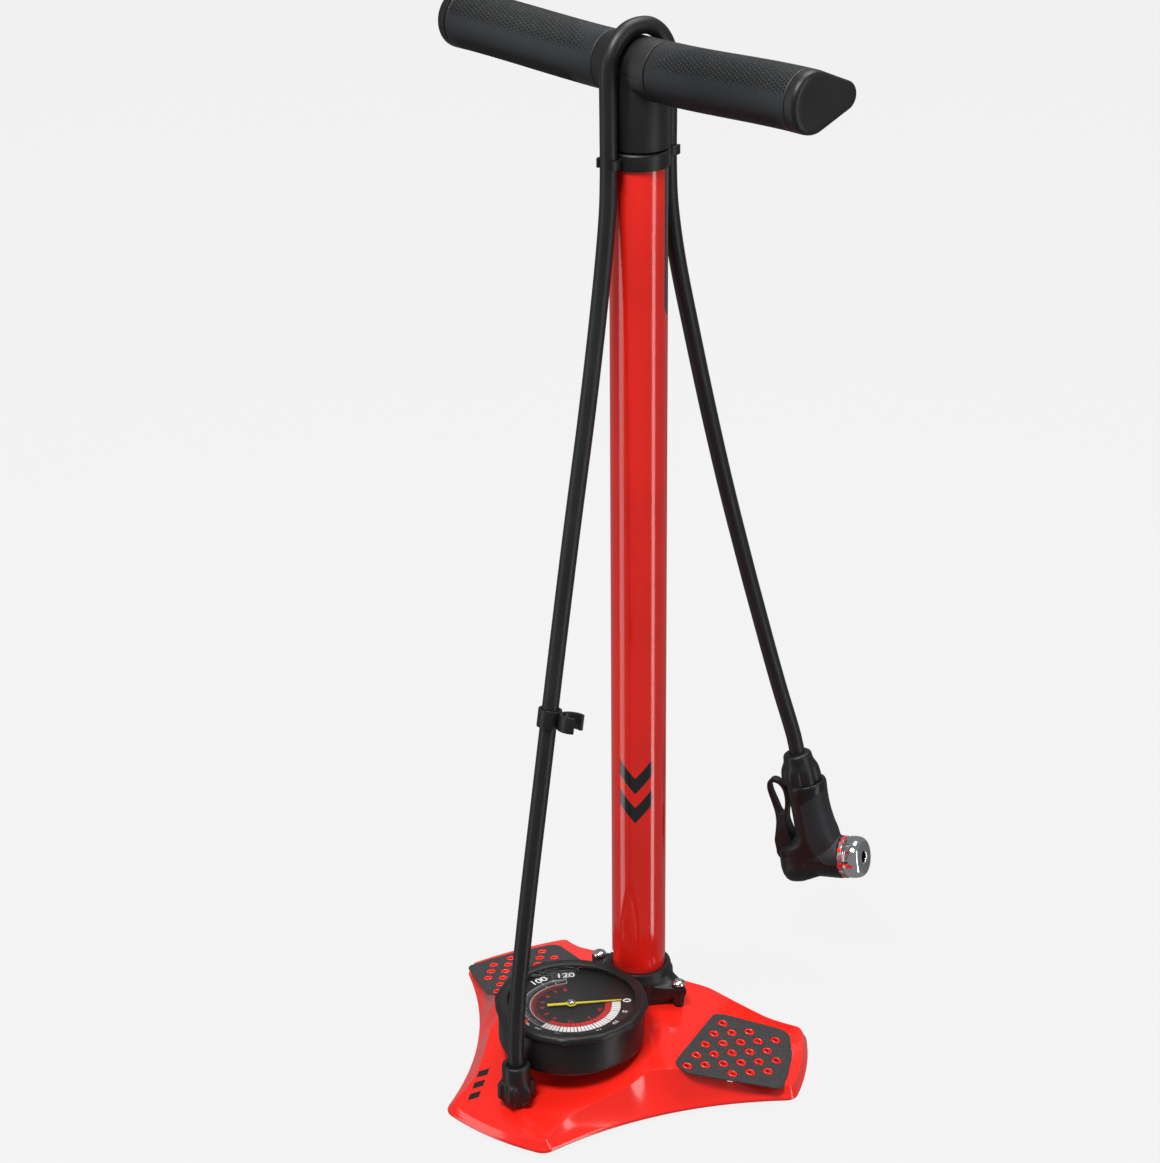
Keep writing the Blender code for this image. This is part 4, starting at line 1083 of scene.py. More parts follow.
class FLOORPUMP_OT_collar(bpy.types.Operator):
    """Moulded socket that clamps the barrel to the plate, with its two screws"""

    bl_idname = "floor_pump.collar"
    bl_label = "Barrel collar"

    def execute(self, context):
        count = 120
        lift = 0.0006

        def lobe(angle):
            away = min(abs(math.sin(angle)) / math.sin(math.radians(34)), 1.0)
            return (1 - away) ** 1.4 if math.cos(angle) ** 2 > 0.5 else 0.0

        def ring(radius, height):
            return loop(count, height, lambda a: radius)

        def star(scale, height, drape=False):
            points = loop(count, height, lambda a: 0.0226 + 0.0158 * lobe(a) * scale)
            if drape:
                points = [(x, y, panel_height(x, y) + lift) for x, y, _ in points]
            return points

        bore = BARREL_RADIUS + 0.0003
        rings = [
            ring(0.0076, 0.0308), ring(0.0200, 0.0308), star(0.42, 0.0, True),
            star(0.52, 0.0330), star(0.72, 0.0352), star(0.90, 0.0372), star(0.985, 0.0392),
            star(1.0, 0.0408), star(1.0, 0.0424), star(0.985, 0.0433), star(0.95, 0.0438),
            star(0.88, 0.0440), star(0.60, 0.0442), star(0.42, 0.0446), star(0.26, 0.0453),
            star(0.12, 0.0462), ring(0.0219, 0.0474), ring(0.0215, 0.0490),
            ring(0.0212, 0.0510), ring(0.0209, 0.0519), ring(0.0203, 0.0525),
            ring(0.0188, 0.0526), ring(bore, 0.0524), ring(bore, 0.0404), ring(0.0172, 0.0403),
            ring(0.0076, 0.0403),
        ]
        collar = wrapped(rings, closed=True)
        for side in (-1, 1):
            lowest = panel_height(0.036, 0.0) + lift
            at_screw = Matrix.Translation((side * SCREW_OUT, 0, 0))
            boss = turned([(0.0036, lowest), (0.0042, 0.0350), (0.0050, 0.0405)], 40)
            combined(collar, put(boss, at_screw), "UNION")
            drilled(collar, 0.0022, 0.02, 0.06, 24, at_screw)
        put(collar, TO_BARREL)
        done(collar, "foot_collar", "moulding", "black_plastic", "pump_body", "barrel_collar",
             smooth=38.0)
        for side, word in ((1, "right"), (-1, "left")):
            profile = rounded([(0.0003, 0.0215), (0.0018, 0.0215), (0.0018, 0.0453),
                               (0.0046, 0.0453), (0.0046, 0.0460), (0.0040, 0.0471),
                               (0.0028, 0.0479), (0.0014, 0.0482), (0.0003, 0.04828)], 0.0006, 3)
            screw = drilled(turned(profile, 48), 0.0016, 0.0468, 0.0500, 6)
            put(screw, TO_BARREL @ Matrix.Translation((side * SCREW_OUT, 0, 0)))
            done(screw, "foot_collar_screw_" + word, "chrome", "chrome", "pump_body",
                 "collar_screw_" + word, smooth=40.0)
        return {"FINISHED"}


def arc_patch(inner, outer, start, end, steps=1):
    """A flat patch of a ring between two angles in degrees, about the dial's middle."""
    clear_selection()
    bpy.ops.mesh.primitive_grid_add(x_subdivisions=steps, y_subdivisions=1, size=1.0)
    patch = bpy.context.object
    for vert in patch.data.vertices:
        a = math.radians(start + (end - start) * (vert.co.x + 0.5))
        r = inner + (outer - inner) * (vert.co.y + 0.5)
        vert.co = (r * math.cos(a), r * math.sin(a), 0.0)
    return patch


def numeral(text, angle, radius, height):
    """A numeral on the dial, its top outwards."""
    clear_selection()
    bpy.ops.object.text_add()
    piece = bpy.context.object
    piece.data.body = text
    piece.data.size = height * 1.42
    piece.data.align_x = "CENTER"
    piece.data.align_y = "CENTER"
    piece.data.space_character = 0.92
    piece.data.offset = 0.00006
    bpy.ops.object.convert(target="MESH")
    a = math.radians(angle)
    turn = Matrix.Rotation(a - math.pi / 2, 4, "Z")
    wide = Matrix.Scale(1.22, 4, (1, 0, 0))
    return put(piece, Matrix.Translation((radius * math.cos(a), radius * math.sin(a), 0))
               @ turn @ wide)


def printed(pieces, name, ink, slot):
    """Flat patches made one thin layer of ink on the dial."""
    layer = gathered(pieces)
    edit(layer)
    bpy.ops.mesh.remove_doubles(threshold=1e-7)
    bpy.ops.mesh.normals_make_consistent(inside=False)
    bpy.ops.object.mode_set(mode="OBJECT")
    if sum(face.normal.z * face.area for face in layer.data.polygons) < 0:
        layer.data.flip_normals()
    for face in list(layer.data.polygons):
        if face.normal.z < 0:
            face.flip()
    modified(layer, "SOLIDIFY", thickness=0.00005, offset=1.0)
    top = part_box("dial_plate")[1].z
    put(layer, TO_GAUGE @ Matrix.Translation((0, 0, top + 0.00002)))
    return done(layer, name, ink, slot, "pump_body", smooth=20.0)


# Each scale as values and their angles in degrees from +X; both run clockwise.
OUTER_STOPS = ((0, 44.7), (5, 23.0), (10, 0.4), (30, -91.0), (100, -197.5), (120, -227.0))
INNER_STOPS = ((0.0, 44.7), (0.5, 19.0), (1.0, -15.6), (1.5, -54.5), (2.0, -88.0), (3.0, -110.0),
               (4.0, -134.0), (5.0, -155.0), (6.0, -178.0), (7.0, -201.0), (8.0, -221.0))


def scale_angle(stops, value):
    """Angle of a value on a scale that is even between its stops."""
    for (low, a), (high, b) in zip(stops, stops[1:]):
        if value <= high:
            return a + (b - a) * (value - low) / (high - low)
    return stops[-1][1]


def first_scale(value):
    return scale_angle(OUTER_STOPS, value)


def second_scale(value):
    return scale_angle(INNER_STOPS, value)


class FLOORPUMP_OT_gauge_case(bpy.types.Operator):
    """Round case of the pressure gauge"""

    bl_idname = "floor_pump.gauge_case"
    bl_label = "Gauge case"

    def execute(self, context):
        low, high, radius = measured("gauge_housing")
        wall = radius - 0.0022
        profile = rounded([
            (0.0049, low.z), (0.0440, low.z), (0.0462, low.z + 0.0012), (radius, low.z + 0.0035),
            (radius, high.z), (wall, high.z), (wall, low.z + 0.0040), (0.0049, low.z + 0.0040),
        ], 0.0010, 3, closed=True)
        case = turned(profile, 160, closed=True)
        put(case, TO_GAUGE)
        done(case, "gauge_case", "moulding", "black_plastic", "pump_body", "gauge_housing")
        return {"FINISHED"}


class FLOORPUMP_OT_gauge_rim(bpy.types.Operator):
    """Turning ring of the gauge, with soft bumps, and its clear window"""

    bl_idname = "floor_pump.gauge_rim"
    bl_label = "Gauge ring and window"

    def execute(self, context):
        bumps = settings(context).gauge_bumps
        low, high = GAUGE_LOW.z, GAUGE_HIGH.z
        profile = rounded([
            (0.0452, low), (0.0482, low), (GAUGE_RADIUS, low + 0.0008),
            (GAUGE_RADIUS, low + 0.0022), (0.0484, low + 0.0040), (0.0462, high),
            (0.0436, high - 0.0001), (0.0410, high - 0.0006), (0.0410, 0.0589), (0.0452, 0.0589),
        ], 0.0012, 4, closed=True)
        sides = 288
        rings = []
        for radius, height in profile:
            edge = smooth_step((radius - 0.0462) / 0.0034)

            def bumpy(a, radius=radius, edge=edge):
                crest = max(0.0, math.cos(bumps * a)) ** 2.0
                return radius - 0.0008 * edge * (1 - crest)

            rings.append(loop(sides, height, bumpy))
        rim = put(wrapped(rings, closed=True), TO_GAUGE)
        done(rim, "gauge_turning_ring", "moulding", "black_plastic", "gauge_ring", "gauge_bezel")

        low, high, radius = measured("gauge_lens")
        base, top = low.z, high.z
        profile = [(0.0003, base), (radius - 0.0002, base), (radius, base + 0.0002),
                   (radius, base + 0.0006)]
        steps = 12
        edge = 0.0007
        for i in range(1, steps + 1):
            t = i / steps
            rise = (top - base - edge) * math.sin(t * math.pi / 2)
            profile.append((radius * (1 - t) + 0.0004 * t, base + edge + rise))
        window = put(turned(profile, 160), TO_GAUGE)
        done(window, "gauge_window", "window", "clear_lens", "gauge_ring", "gauge_lens",
             smooth=60.0)
        return {"FINISHED"}


class FLOORPUMP_OT_gauge_face(bpy.types.Operator):
    """Dial with two scales, its needle and boss"""

    bl_idname = "floor_pump.gauge_face"
    bl_label = "Gauge face"

    def execute(self, context):
        low, high, radius = measured("dial_plate")
        profile = rounded([(0.0022, low.z), (radius, low.z), (radius, high.z), (0.0022, high.z)],
                          0.0001, 2, closed=True)
        face = put(turned(profile, 160, closed=True), TO_GAUGE)
        done(face, "gauge_face", "dial", "dial_black", "pump_body", "dial_plate")

        white, grey, red = [], [], []
        inner, outer = 0.0260, 0.0316
        for value in range(0, 30):
            start, end = first_scale(value), first_scale(value + 1)
            gap = 0.42 if value % 5 else 0.95
            white.append(arc_patch(inner, outer, start - gap, end + 0.42, 4))
        for value in range(30, 121, 2):
            a = first_scale(value)
            longer = 0.0 if value % 10 else 0.0008
            grey.append(arc_patch(0.0290 - longer, outer - 0.0003, a + 0.28, a - 0.28))
        grey.append(arc_patch(outer - 0.0005, outer, first_scale(30), first_scale(120), 60))
        grey.append(arc_patch(inner, inner + 0.0008, first_scale(30), first_scale(120), 60))
        for value in (100, 110, 120):
            a = first_scale(value)
            white.append(arc_patch(inner + 0.0010, outer + 0.0010, a + 0.35, a - 0.35))
        numerals = [(0, 0.0052, 0.0358)]
        numerals += [(value, 0.0030, 0.0350) for value in range(5, 31, 5)]
        numerals += [(40, 0.0034, 0.0354), (60, 0.0038, 0.0358), (80, 0.0044, 0.0360),
                     (100, 0.0052, 0.0362), (120, 0.0052, 0.0362)]
        for value, size, radius in numerals:
            white.append(numeral(str(value), first_scale(value), radius, size))
        for step in range(0, 20):
            start, end = second_scale(step / 10), second_scale(step / 10 + 0.1)
            gap = 0.5 if step % 5 else 1.2
            red.append(arc_patch(0.0218, 0.0255, start - gap, end + 0.5, 4))
        for step in range(20, 81, 2):
            a = second_scale(step / 10)
            longer = 0.0 if step % 10 else 0.0010
            red.append(arc_patch(0.0226 - longer, 0.0252, a + 0.32, a - 0.32))
        red.append(arc_patch(0.0250, 0.0254, second_scale(2.0), second_scale(8.0), 60))
        for value in (0.5, 1.5):
            red.append(numeral("%g" % value, second_scale(value), 0.0190, 0.0019))
        for value in range(1, 9):
            red.append(numeral(str(value), second_scale(value), 0.0186, 0.0029))
        printed(white, "gauge_face_white_scale", "ink_white", "dial_black")
        printed(grey, "gauge_face_grey_scale", "ink_grey", "dial_black")
        printed(red, "gauge_face_red_scale", "ink_red", "dial_black")

        needle = refined("gauge_needle", 0.00012, 2, 30.0)
        done(needle, "gauge_pointer", "needle", "needle_yellow", "needle", "gauge_needle")
        low, high, radius = measured("needle_hub")
        boss = turned(rounded([(0.0002, low.z), (radius, low.z), (radius, low.z + 0.0006),
                               (radius * 0.62, high.z), (0.0002, high.z)], 0.0005, 4), 64)
        slot = plate([(-0.0040, -0.00035), (0.0040, -0.00035), (0.0040, 0.00035),
                      (-0.0040, 0.00035)], high.z - 0.0004, high.z + 0.001)
        combined(boss, slot, "DIFFERENCE")
        put(boss, TO_GAUGE)
        done(boss, "gauge_pointer_boss", "steel", "steel", "needle", "needle_hub")
        return {"FINISHED"}


class FLOORPUMP_OT_hand_nut(bpy.types.Operator):
    """Hand nut that holds the hose to the foot plate"""

    bl_idname = "floor_pump.hand_nut"
    bl_label = "Hose nut"

    def execute(self, context):
        def wave(a):
            height = math.cos(6 * a + 1.2)
            return math.copysign(abs(height) ** 0.8, height)

        rings = []
        # Radius, height and depth of the six lobes, from the skirt up.
        for radius, height, lobes in (
                (0.0076, 0.0150, 0), (0.0084, 0.0149, 0), (0.0088, 0.0156, 0.0004),
                (0.0092, 0.0172, 0.0008), (0.0097, 0.0179, 0.0011), (0.0103, 0.0185, 0.0014),
                (0.0105, 0.0193, 0.0016), (0.0105, 0.0240, 0.0016), (0.0105, 0.0276, 0.0016),
                (0.0103, 0.0287, 0.0014), (0.0099, 0.0297, 0.0010), (0.0094, 0.0306, 0.0005),
                (0.0091, 0.0315, 0.0002), (0.0090, 0.0326, 0), (0.0090, 0.0370, 0),
                (0.0090, 0.0408, 0), (0.0088, 0.0417, 0), (0.0083, 0.0423, 0),
                (0.0075, 0.0424, 0), (0.0060, 0.0424, 0), (0.0057, 0.0422, 0),
                (0.0056, 0.0417, 0), (0.0056, 0.0371, 0), (0.0049, 0.0360, 0)):
            rings.append(loop(120, height, lambda a, r=radius, deep=lobes: r + deep * wave(a)))
        nut = wrapped(rings, closed=True)
        put(nut, Matrix.Translation((0, OUTLET_AT.y, 0)))
        done(nut, "hose_hand_nut", "moulding", "black_plastic", "pump_body", "hose_nut",
             smooth=50.0)
        return {"FINISHED"}


class FLOORPUMP_OT_top_cap(bpy.types.Operator):
    """Cap of the barrel with its two hose clips"""

    bl_idname = "floor_pump.top_cap"
    bl_label = "Top cap"

    def execute(self, context):
        cap = refined("top_cap", 0.0004, 3, 40.0, 2.0)
        done(cap, "barrel_cap", "moulding", "black_plastic", "pump_body", "top_cap", smooth=40.0)
        return {"FINISHED"}


class FLOORPUMP_OT_piston(bpy.types.Operator):
    """Piston rod, seen when the handle is drawn up"""

    bl_idname = "floor_pump.piston"
    bl_label = "Piston rod"

    def execute(self, context):
        low, high, radius = measured("piston_rod")
        rod = turned([(0.0035, low.z), (radius, low.z + 0.0015)]
                     + [(radius, low.z + 0.02 + 0.05 * i) for i in range(11)]
                     + [(radius, high.z - 0.0005), (radius - 0.0005, high.z)], 64)
        done(put(rod, TO_BARREL), "piston_shaft", "steel", "steel", "handle", "piston_rod")
        return {"FINISHED"}


HOSE_RADIUS = 0.0052
HANDLE_Z = 0.6505
HANDLE_R = 0.0180
STEM_R = 0.0184
STEM_BOTTOM = 0.6033
HUB_HALF = 0.0212
GRIP_END = 0.1390
CAP_END = 0.1470
CORE_R = 0.0070
CORE_Z = 0.6520


def grip_section(x, share, count, side=1.0, cut=None):
    """Outline of the grip: round in the middle, a flat teardrop at the ends."""
    front = Vector((-0.0095 * share, HANDLE_Z + 0.0065 * share))
    back = Vector((front.x + 0.0260 * share, HANDLE_Z + 0.0060 * share))
    back_r = HANDLE_R - 0.0095 * share
    points = []
    for i in range(count):
        a = 2 * math.pi * i / count
        ray = Vector((math.cos(a), math.sin(a)))
        use_front = front.dot(ray) + HANDLE_R >= back.dot(ray) + back_r
        middle, radius = (front, HANDLE_R) if use_front else (back, back_r)
        p = middle + ray * (radius - (cut(a) if cut else 0.0))
        points.append((x * side, p.x, p.y))
    return points


def shrunk(section, x, by):
    """The same outline pulled in evenly and moved to another x."""
    middle = sum((Vector(p) for p in section), Vector()) / len(section)
    found = []
    for p in section:
        away = Vector((0, p[1] - middle.y, p[2] - middle.z))
        short = max(away.length - by, 0.0) / away.length
        found.append((x, middle.y + away.y * short, middle.z + away.z * short))
    return found


class FLOORPUMP_OT_handle(bpy.types.Operator):
    """Handle: moulded T in the middle, two grips and their end plugs"""

    bl_idname = "floor_pump.handle"
    bl_label = "Handle"

    def execute(self, context):
        stem = turned(rounded([
            (0.0056, STEM_BOTTOM + 0.0068), (0.0098, STEM_BOTTOM + 0.0068), (0.0098, STEM_BOTTOM),
            (STEM_R, STEM_BOTTOM), (STEM_R, HANDLE_Z - 0.002), (0.0056, HANDLE_Z - 0.002),
        ], 0.0012, 4), 128)
        sideways = Matrix.Translation((0, 0, HANDLE_Z)) @ Z_TO_X
        bar = turned(rounded([(0.0071, -HUB_HALF), (HANDLE_R, -HUB_HALF), (HANDLE_R, HUB_HALF),
                              (0.0071, HUB_HALF)], 0.0006, 3), 128)
        combined(stem, put(bar, sideways), "UNION")
        half, chamfer = 0.1385, 0.0006
        core = turned([(CORE_R - chamfer, -half), (CORE_R, chamfer - half),
                       (CORE_R, half - chamfer), (CORE_R - chamfer, half)], 64)
        combined(stem, put(core, Matrix.Translation((0, 0, CORE_Z)) @ Z_TO_X), "UNION")
        drilled(stem, 0.0053, 0.60, 0.6403, 48)
        bevelled(stem, 0.0012, 4, 50.0)
        put(stem, TO_UPPER)
        done(stem, "handle_middle", "rubber", "black_plastic", "handle", "handle_core",
             smooth=40.0)

        count = 96
        pitch = settings(context).grip_rib_pitch
        depth = settings(context).grip_rib_depth
        start = 0.0215
        steps = 196
        for side, word in ((1, "right"), (-1, "left")):
            rings = []
            for k in range(steps + 1):
                x = start + (GRIP_END - start) * k / steps
                share = smooth_step((x - start) / (GRIP_END - start))
                fade = smooth_step((x - 0.034) / 0.012) * smooth_step((GRIP_END - 0.004 - x) / 0.003)
                wave = 0.5 - 0.5 * math.cos(2 * math.pi * x / pitch)
                edge = smooth_step((0.0006 - min(x - start, GRIP_END - x)) / 0.0006) * 0.0005

                def cut(a, fade=fade, wave=wave, edge=edge):
                    under = smooth_step((-math.sin(a) - 0.30) / 0.25)
                    return edge + depth * fade * under * wave

                rings.append(grip_section(x, share, count, side, cut))
            for x in (GRIP_END, start):
                bore = loop(count, x, lambda a: CORE_R + 0.0003)
                rings.append([(side * x, y, CORE_Z + z) for y, z, _ in bore])
            grip = wrapped(rings, closed=True)
            put(grip, TO_UPPER)
            done(grip, "handle_grip_cover_" + word, "grip", "grip_rubber", "handle",
                 "handle_grip_" + word, smooth=60.0)

            section = grip_section(GRIP_END + 0.0003, 1.0, count, side)
            ends = [shrunk(section, side * (GRIP_END + 0.0003), 0.0004),
                    shrunk(section, side * (GRIP_END + 0.0006), 0.0)]
            for x, by in ((0.1425, 0.0), (0.1437, 0.0001), (0.1447, 0.0003), (0.1455, 0.0007),
                          (0.1462, 0.0013), (0.1466, 0.0020), (0.1469, 0.0029), (CAP_END, 0.0040),
                          (CAP_END, 0.0075)):
                ends.append(shrunk(section, side * x, by))
            plug = put(wrapped(ends), TO_UPPER)
            done(plug, "handle_end_plug_" + word, "moulding", "black_plastic", "handle",
                 "grip_end_cap_" + word, smooth=50.0)
        return {"FINISHED"}


LEVER_PIVOT = (-0.0193, -0.0725)
LEVER_ROOT = 0.0075
# The shell's section at each height: its back, its front and half its depth.
SHELL = (
    (-0.0210, -0.0104, 0.0158, 0.0131), (-0.0235, -0.0110, 0.0165, 0.0135),
    (-0.0300, -0.0108, 0.0160, 0.0134), (-0.0360, -0.0105, 0.0158, 0.0132),
    (-0.0450, -0.0102, 0.0160, 0.0130), (-0.0530, -0.0100, 0.0167, 0.0129),
    (-0.0590, -0.0106, 0.0180, 0.0129), (-0.0640, -0.0145, 0.0188, 0.0129),
    (-0.0680, -0.0222, 0.0190, 0.0129), (-0.0725, -0.0252, 0.0190, 0.0129),
    (-0.0784, -0.0258, 0.0186, 0.0129), (-0.0840, -0.0261, 0.0160, 0.0126),
    (-0.0890, -0.0255, 0.0080, 0.0112), (-0.0925, -0.0240, -0.0020, 0.0092),
    (-0.0950, -0.0222, -0.0085, 0.0064), (-0.0966, -0.0196, -0.0140, 0.0026),
)


def softened(piece, voxel, passes):
    """Remeshes a closed piece evenly and relaxes it, so that its forms flow together."""
    modified(piece, "REMESH", mode="VOXEL", voxel_size=voxel)
    return modified(piece, "SMOOTH", factor=0.5, iterations=passes)


def across_chuck(piece):
    """Turns a plate drawn in X and Y into the chuck's X and Z."""
    return put(piece, Z_TO_Y)


def around_pivot(radius, degrees):
    """Points round the lever's pin, in the chuck's X and Z."""
    x, z = LEVER_PIVOT
    return [(x + radius * math.cos(math.radians(a)), z + radius * math.sin(math.radians(a)))
            for a in degrees]


def pin_drilled(piece):
    """Cuts the hole of the lever's pin."""
    x, z = LEVER_PIVOT
    return drilled(piece, 0.0018, -0.02, 0.02, 32, Matrix.Translation((x, 0, z)) @ Z_TO_Y)


def chuck_shell():
    """Tube round the hose that flows into the nose and a heel, slotted for the lever."""
    count = 72
    rings = []
    for low, high in zip(SHELL, SHELL[1:]):
        steps = 3
        for k in range(steps):
            t = k / steps
            rings.append([a + (b - a) * t for a, b in zip(low, high)])
    rings.append(list(SHELL[-1]))
    loft = []
    for height, back, front, half in rings:
        ring = []
        fullness = 0.95 - 0.25 * smooth_step((-0.035 - height) / 0.028)
        for x, y, _ in loop(count, height, lambda a: 1.0):
            x = (front - back) / 2 * math.copysign(abs(x) ** fullness, x)
            y = half * math.copysign(abs(y) ** fullness, y)
            ring.append(((back + front) / 2 + x, y, height))
        loft.append(ring)
    shell = wrapped(loft)
    neck = turned([(0.0126, -0.006), (0.0132, -0.004), (0.0140, 0.0080), (0.0146, 0.0160),
                   (0.0147, 0.0204)], 96)
    combined(shell, put(neck, ALONG_NOSE), "UNION")
    softened(shell, 0.0006, 9)
    # The nose's face and the top are cut flat, then the mouth and the air channel are bored.
    drilled(shell, 0.03, 0.02030, 0.03, 32, ALONG_NOSE)
    drilled(shell, 0.04, -0.0210, 0.01, 32)
    drilled(shell, 0.0090, -0.009, 0.03, 96, ALONG_NOSE)
    drilled(shell, 0.0030, -0.074, 0.01, 48)
    socket = around_pivot(LEVER_ROOT + 0.0006, range(-128, 40, 8))
    slot = plate(socket + [(-0.0090, -0.0560), (-0.0400, -0.0560), (-0.0400, -0.1120)],
                 -0.0064, 0.0064)
    combined(shell, across_chuck(slot), "DIFFERENCE")
    return pin_drilled(shell)


def curved_loop(points, steps):
    """A closed smooth curve through points in a plane."""
    found = []
    count = len(points)
    for i in range(count):
        before, start, end, after = (Vector(points[(i + k - 1) % count]) for k in range(4))
        for k in range(steps):
            t = k / steps
            spot = spline(before, start, end, after, t)
            found.append((spot.x, spot.y))
    return found


def thumb_lever():
    """Lever with a round root and a slim open loop at its top."""
    root = around_pivot(LEVER_ROOT, range(165, 391, 15))
    arm = [(-0.0148, -0.0600), (-0.0160, -0.0520), (-0.0146, -0.0450), (-0.0124, -0.0385),
           (-0.0117, -0.0315), (-0.0132, -0.0245), (-0.0172, -0.0198), (-0.0215, -0.0188),
           (-0.0250, -0.0215), (-0.0261, -0.0270), (-0.0248, -0.0361), (-0.0232, -0.0475),
           (-0.0243, -0.0558), (-0.0266, -0.0640)]
    lever = plate(curved_loop(root + arm, 4), -0.0059, 0.0059)
    hole = [(-0.0215, -0.0216), (-0.0175, -0.0228), (-0.0150, -0.0268), (-0.0144, -0.0325),
            (-0.0152, -0.0385), (-0.0172, -0.0445), (-0.0196, -0.0440), (-0.0212, -0.0370),
            (-0.0232, -0.0290), (-0.0234, -0.0240)]
    combined(lever, plate(curved_loop(hole, 5), -0.01, 0.01), "DIFFERENCE")
    softened(lever, 0.0004, 7)
    for vert in lever.data.vertices:
        vert.co.z *= 1 - 0.52 * smooth_step((vert.co.y + 0.0590) / 0.0200)
    return pin_drilled(across_chuck(lever))


class FLOORPUMP_OT_chuck(bpy.types.Operator):
    """Chuck at the hose's end: fluted nut, shell, ring and bright nose"""

    bl_idname = "floor_pump.chuck"
    bl_label = "Chuck"

    def execute(self, context):
        count = 144
        hose_bore = HOSE_RADIUS + 0.0003

        def fluted(radius, height):
            deep = 0.0021 * smooth_step((-height - 0.0040) / 0.0100)
            return loop(count, height,
                        lambda a: radius - deep * (1 - abs(math.sin(3 * a + 0.5)) ** 0.7))

        profile = rounded([(hose_bore, 0.0), (0.0082, 0.0), (0.0096, -0.0012), (0.0102, -0.0055)],
                          0.0012, 4)
        profile += rounded([(0.0104, -0.0062), (0.0128, -0.0110), (0.0135, -0.0160),
                            (0.0136, -0.0207)], 0.0020, 5)
        rings = [fluted(radius, height) for radius, height in profile]
        for radius, height in ((0.0030, -0.0207), (0.0030, -0.0080), (hose_bore, -0.0080)):
            rings.append(loop(count, height, lambda a, r=radius: r))
        nut = wrapped(rings, closed=True)
        done(put(nut, TO_CHUCK), "chuck_cap_nut", "moulding", "black_plastic", "pump_body",
             "chuck_nut", smooth=40.0)

        done(put(chuck_shell(), TO_CHUCK), "chuck_shell", "shell", "black_plastic", "pump_body",
             "chuck_body", smooth=50.0)
        done(put(thumb_lever(), TO_CHUCK), "thumb_lever", "moulding", "black_plastic", "lever",
             "chuck_lever", smooth=50.0)

        ribs = 16

        def ribbed(radius, height):
            outside = radius > 0.0130
            return loop(256, height, lambda a: radius - (
                0.0005 if outside and math.cos(ribs * a) < 0 else 0.0))

        profile = rounded([(0.0104, 0.0206), (0.0140, 0.0206), (0.0144, 0.0212),
                           (0.0144, 0.0240), (0.0104, 0.0240)], 0.0003, 2, closed=True)
        ring = wrapped([ribbed(radius, height) for radius, height in profile], closed=True)
        bore, valley = 0.0130, 0.0140
        marked = [int(bore < face.center.xy.length < valley) for face in ring.data.polygons]
        done(put(ring, TO_NOZZLE), "chuck_ring", "ring", "marker_red", "pump_body",
             "nozzle_ring", smooth=30.0, more=("face",))
        ring.data.polygons.foreach_set("material_index", marked)

        profile = rounded([
            (0.0104, 0.0243), (0.0139, 0.0243), (0.0139, 0.0256), (0.0143, 0.0264),
            (0.0143, 0.0300), (0.0136, 0.0335), (0.0118, 0.0355), (0.0046, 0.0355),
            (0.0040, 0.0349), (0.0040, 0.0330), (0.0104, 0.0330),
        ], 0.0010, 4, closed=True)
        nose = turned(profile, 128, closed=True)
        flat = 0.03545
        marked = [int(face.center.z > flat) for face in nose.data.polygons]
        put(nose, TO_NOZZLE)
        done(nose, "chuck_nose", "chrome", "chrome", "pump_body", "nozzle_cap", smooth=40.0,
             more=("face",))
        nose.data.polygons.foreach_set("material_index", marked)
        return {"FINISHED"}


class FLOORPUMP_OT_hose_keeper(bpy.types.Operator):
    """Clip on the hose that holds the chuck when it is stowed"""

    bl_idname = "floor_pump.hose_keeper"
    bl_label = "Hose clip"

    def execute(self, context):
        keeper = refined("hose_clip", 0.0005, 3, 40.0, 1.0)
        done(keeper, "hose_keeper", "moulding", "black_plastic", "clip", "hose_clip", smooth=40.0)
        return {"FINISHED"}


def route_between(points, spans):
    """Points read from a smooth curve through the given ones; spans sets the count."""
    found = []
    for i, steps in enumerate(spans):
        before = points[max(i - 1, 0)]
        start, end = points[i], points[i + 1]
        after = points[min(i + 2, len(points) - 1)]
        for k in range(steps):
            t = k / steps
            found.append(spline(before, start, end, after, t))
    found.append(points[-1])
    return found


LEG_OFFSET = 0.0245
LOOP_TOP = 0.6743
HOSE_BOTTOM = 0.0405


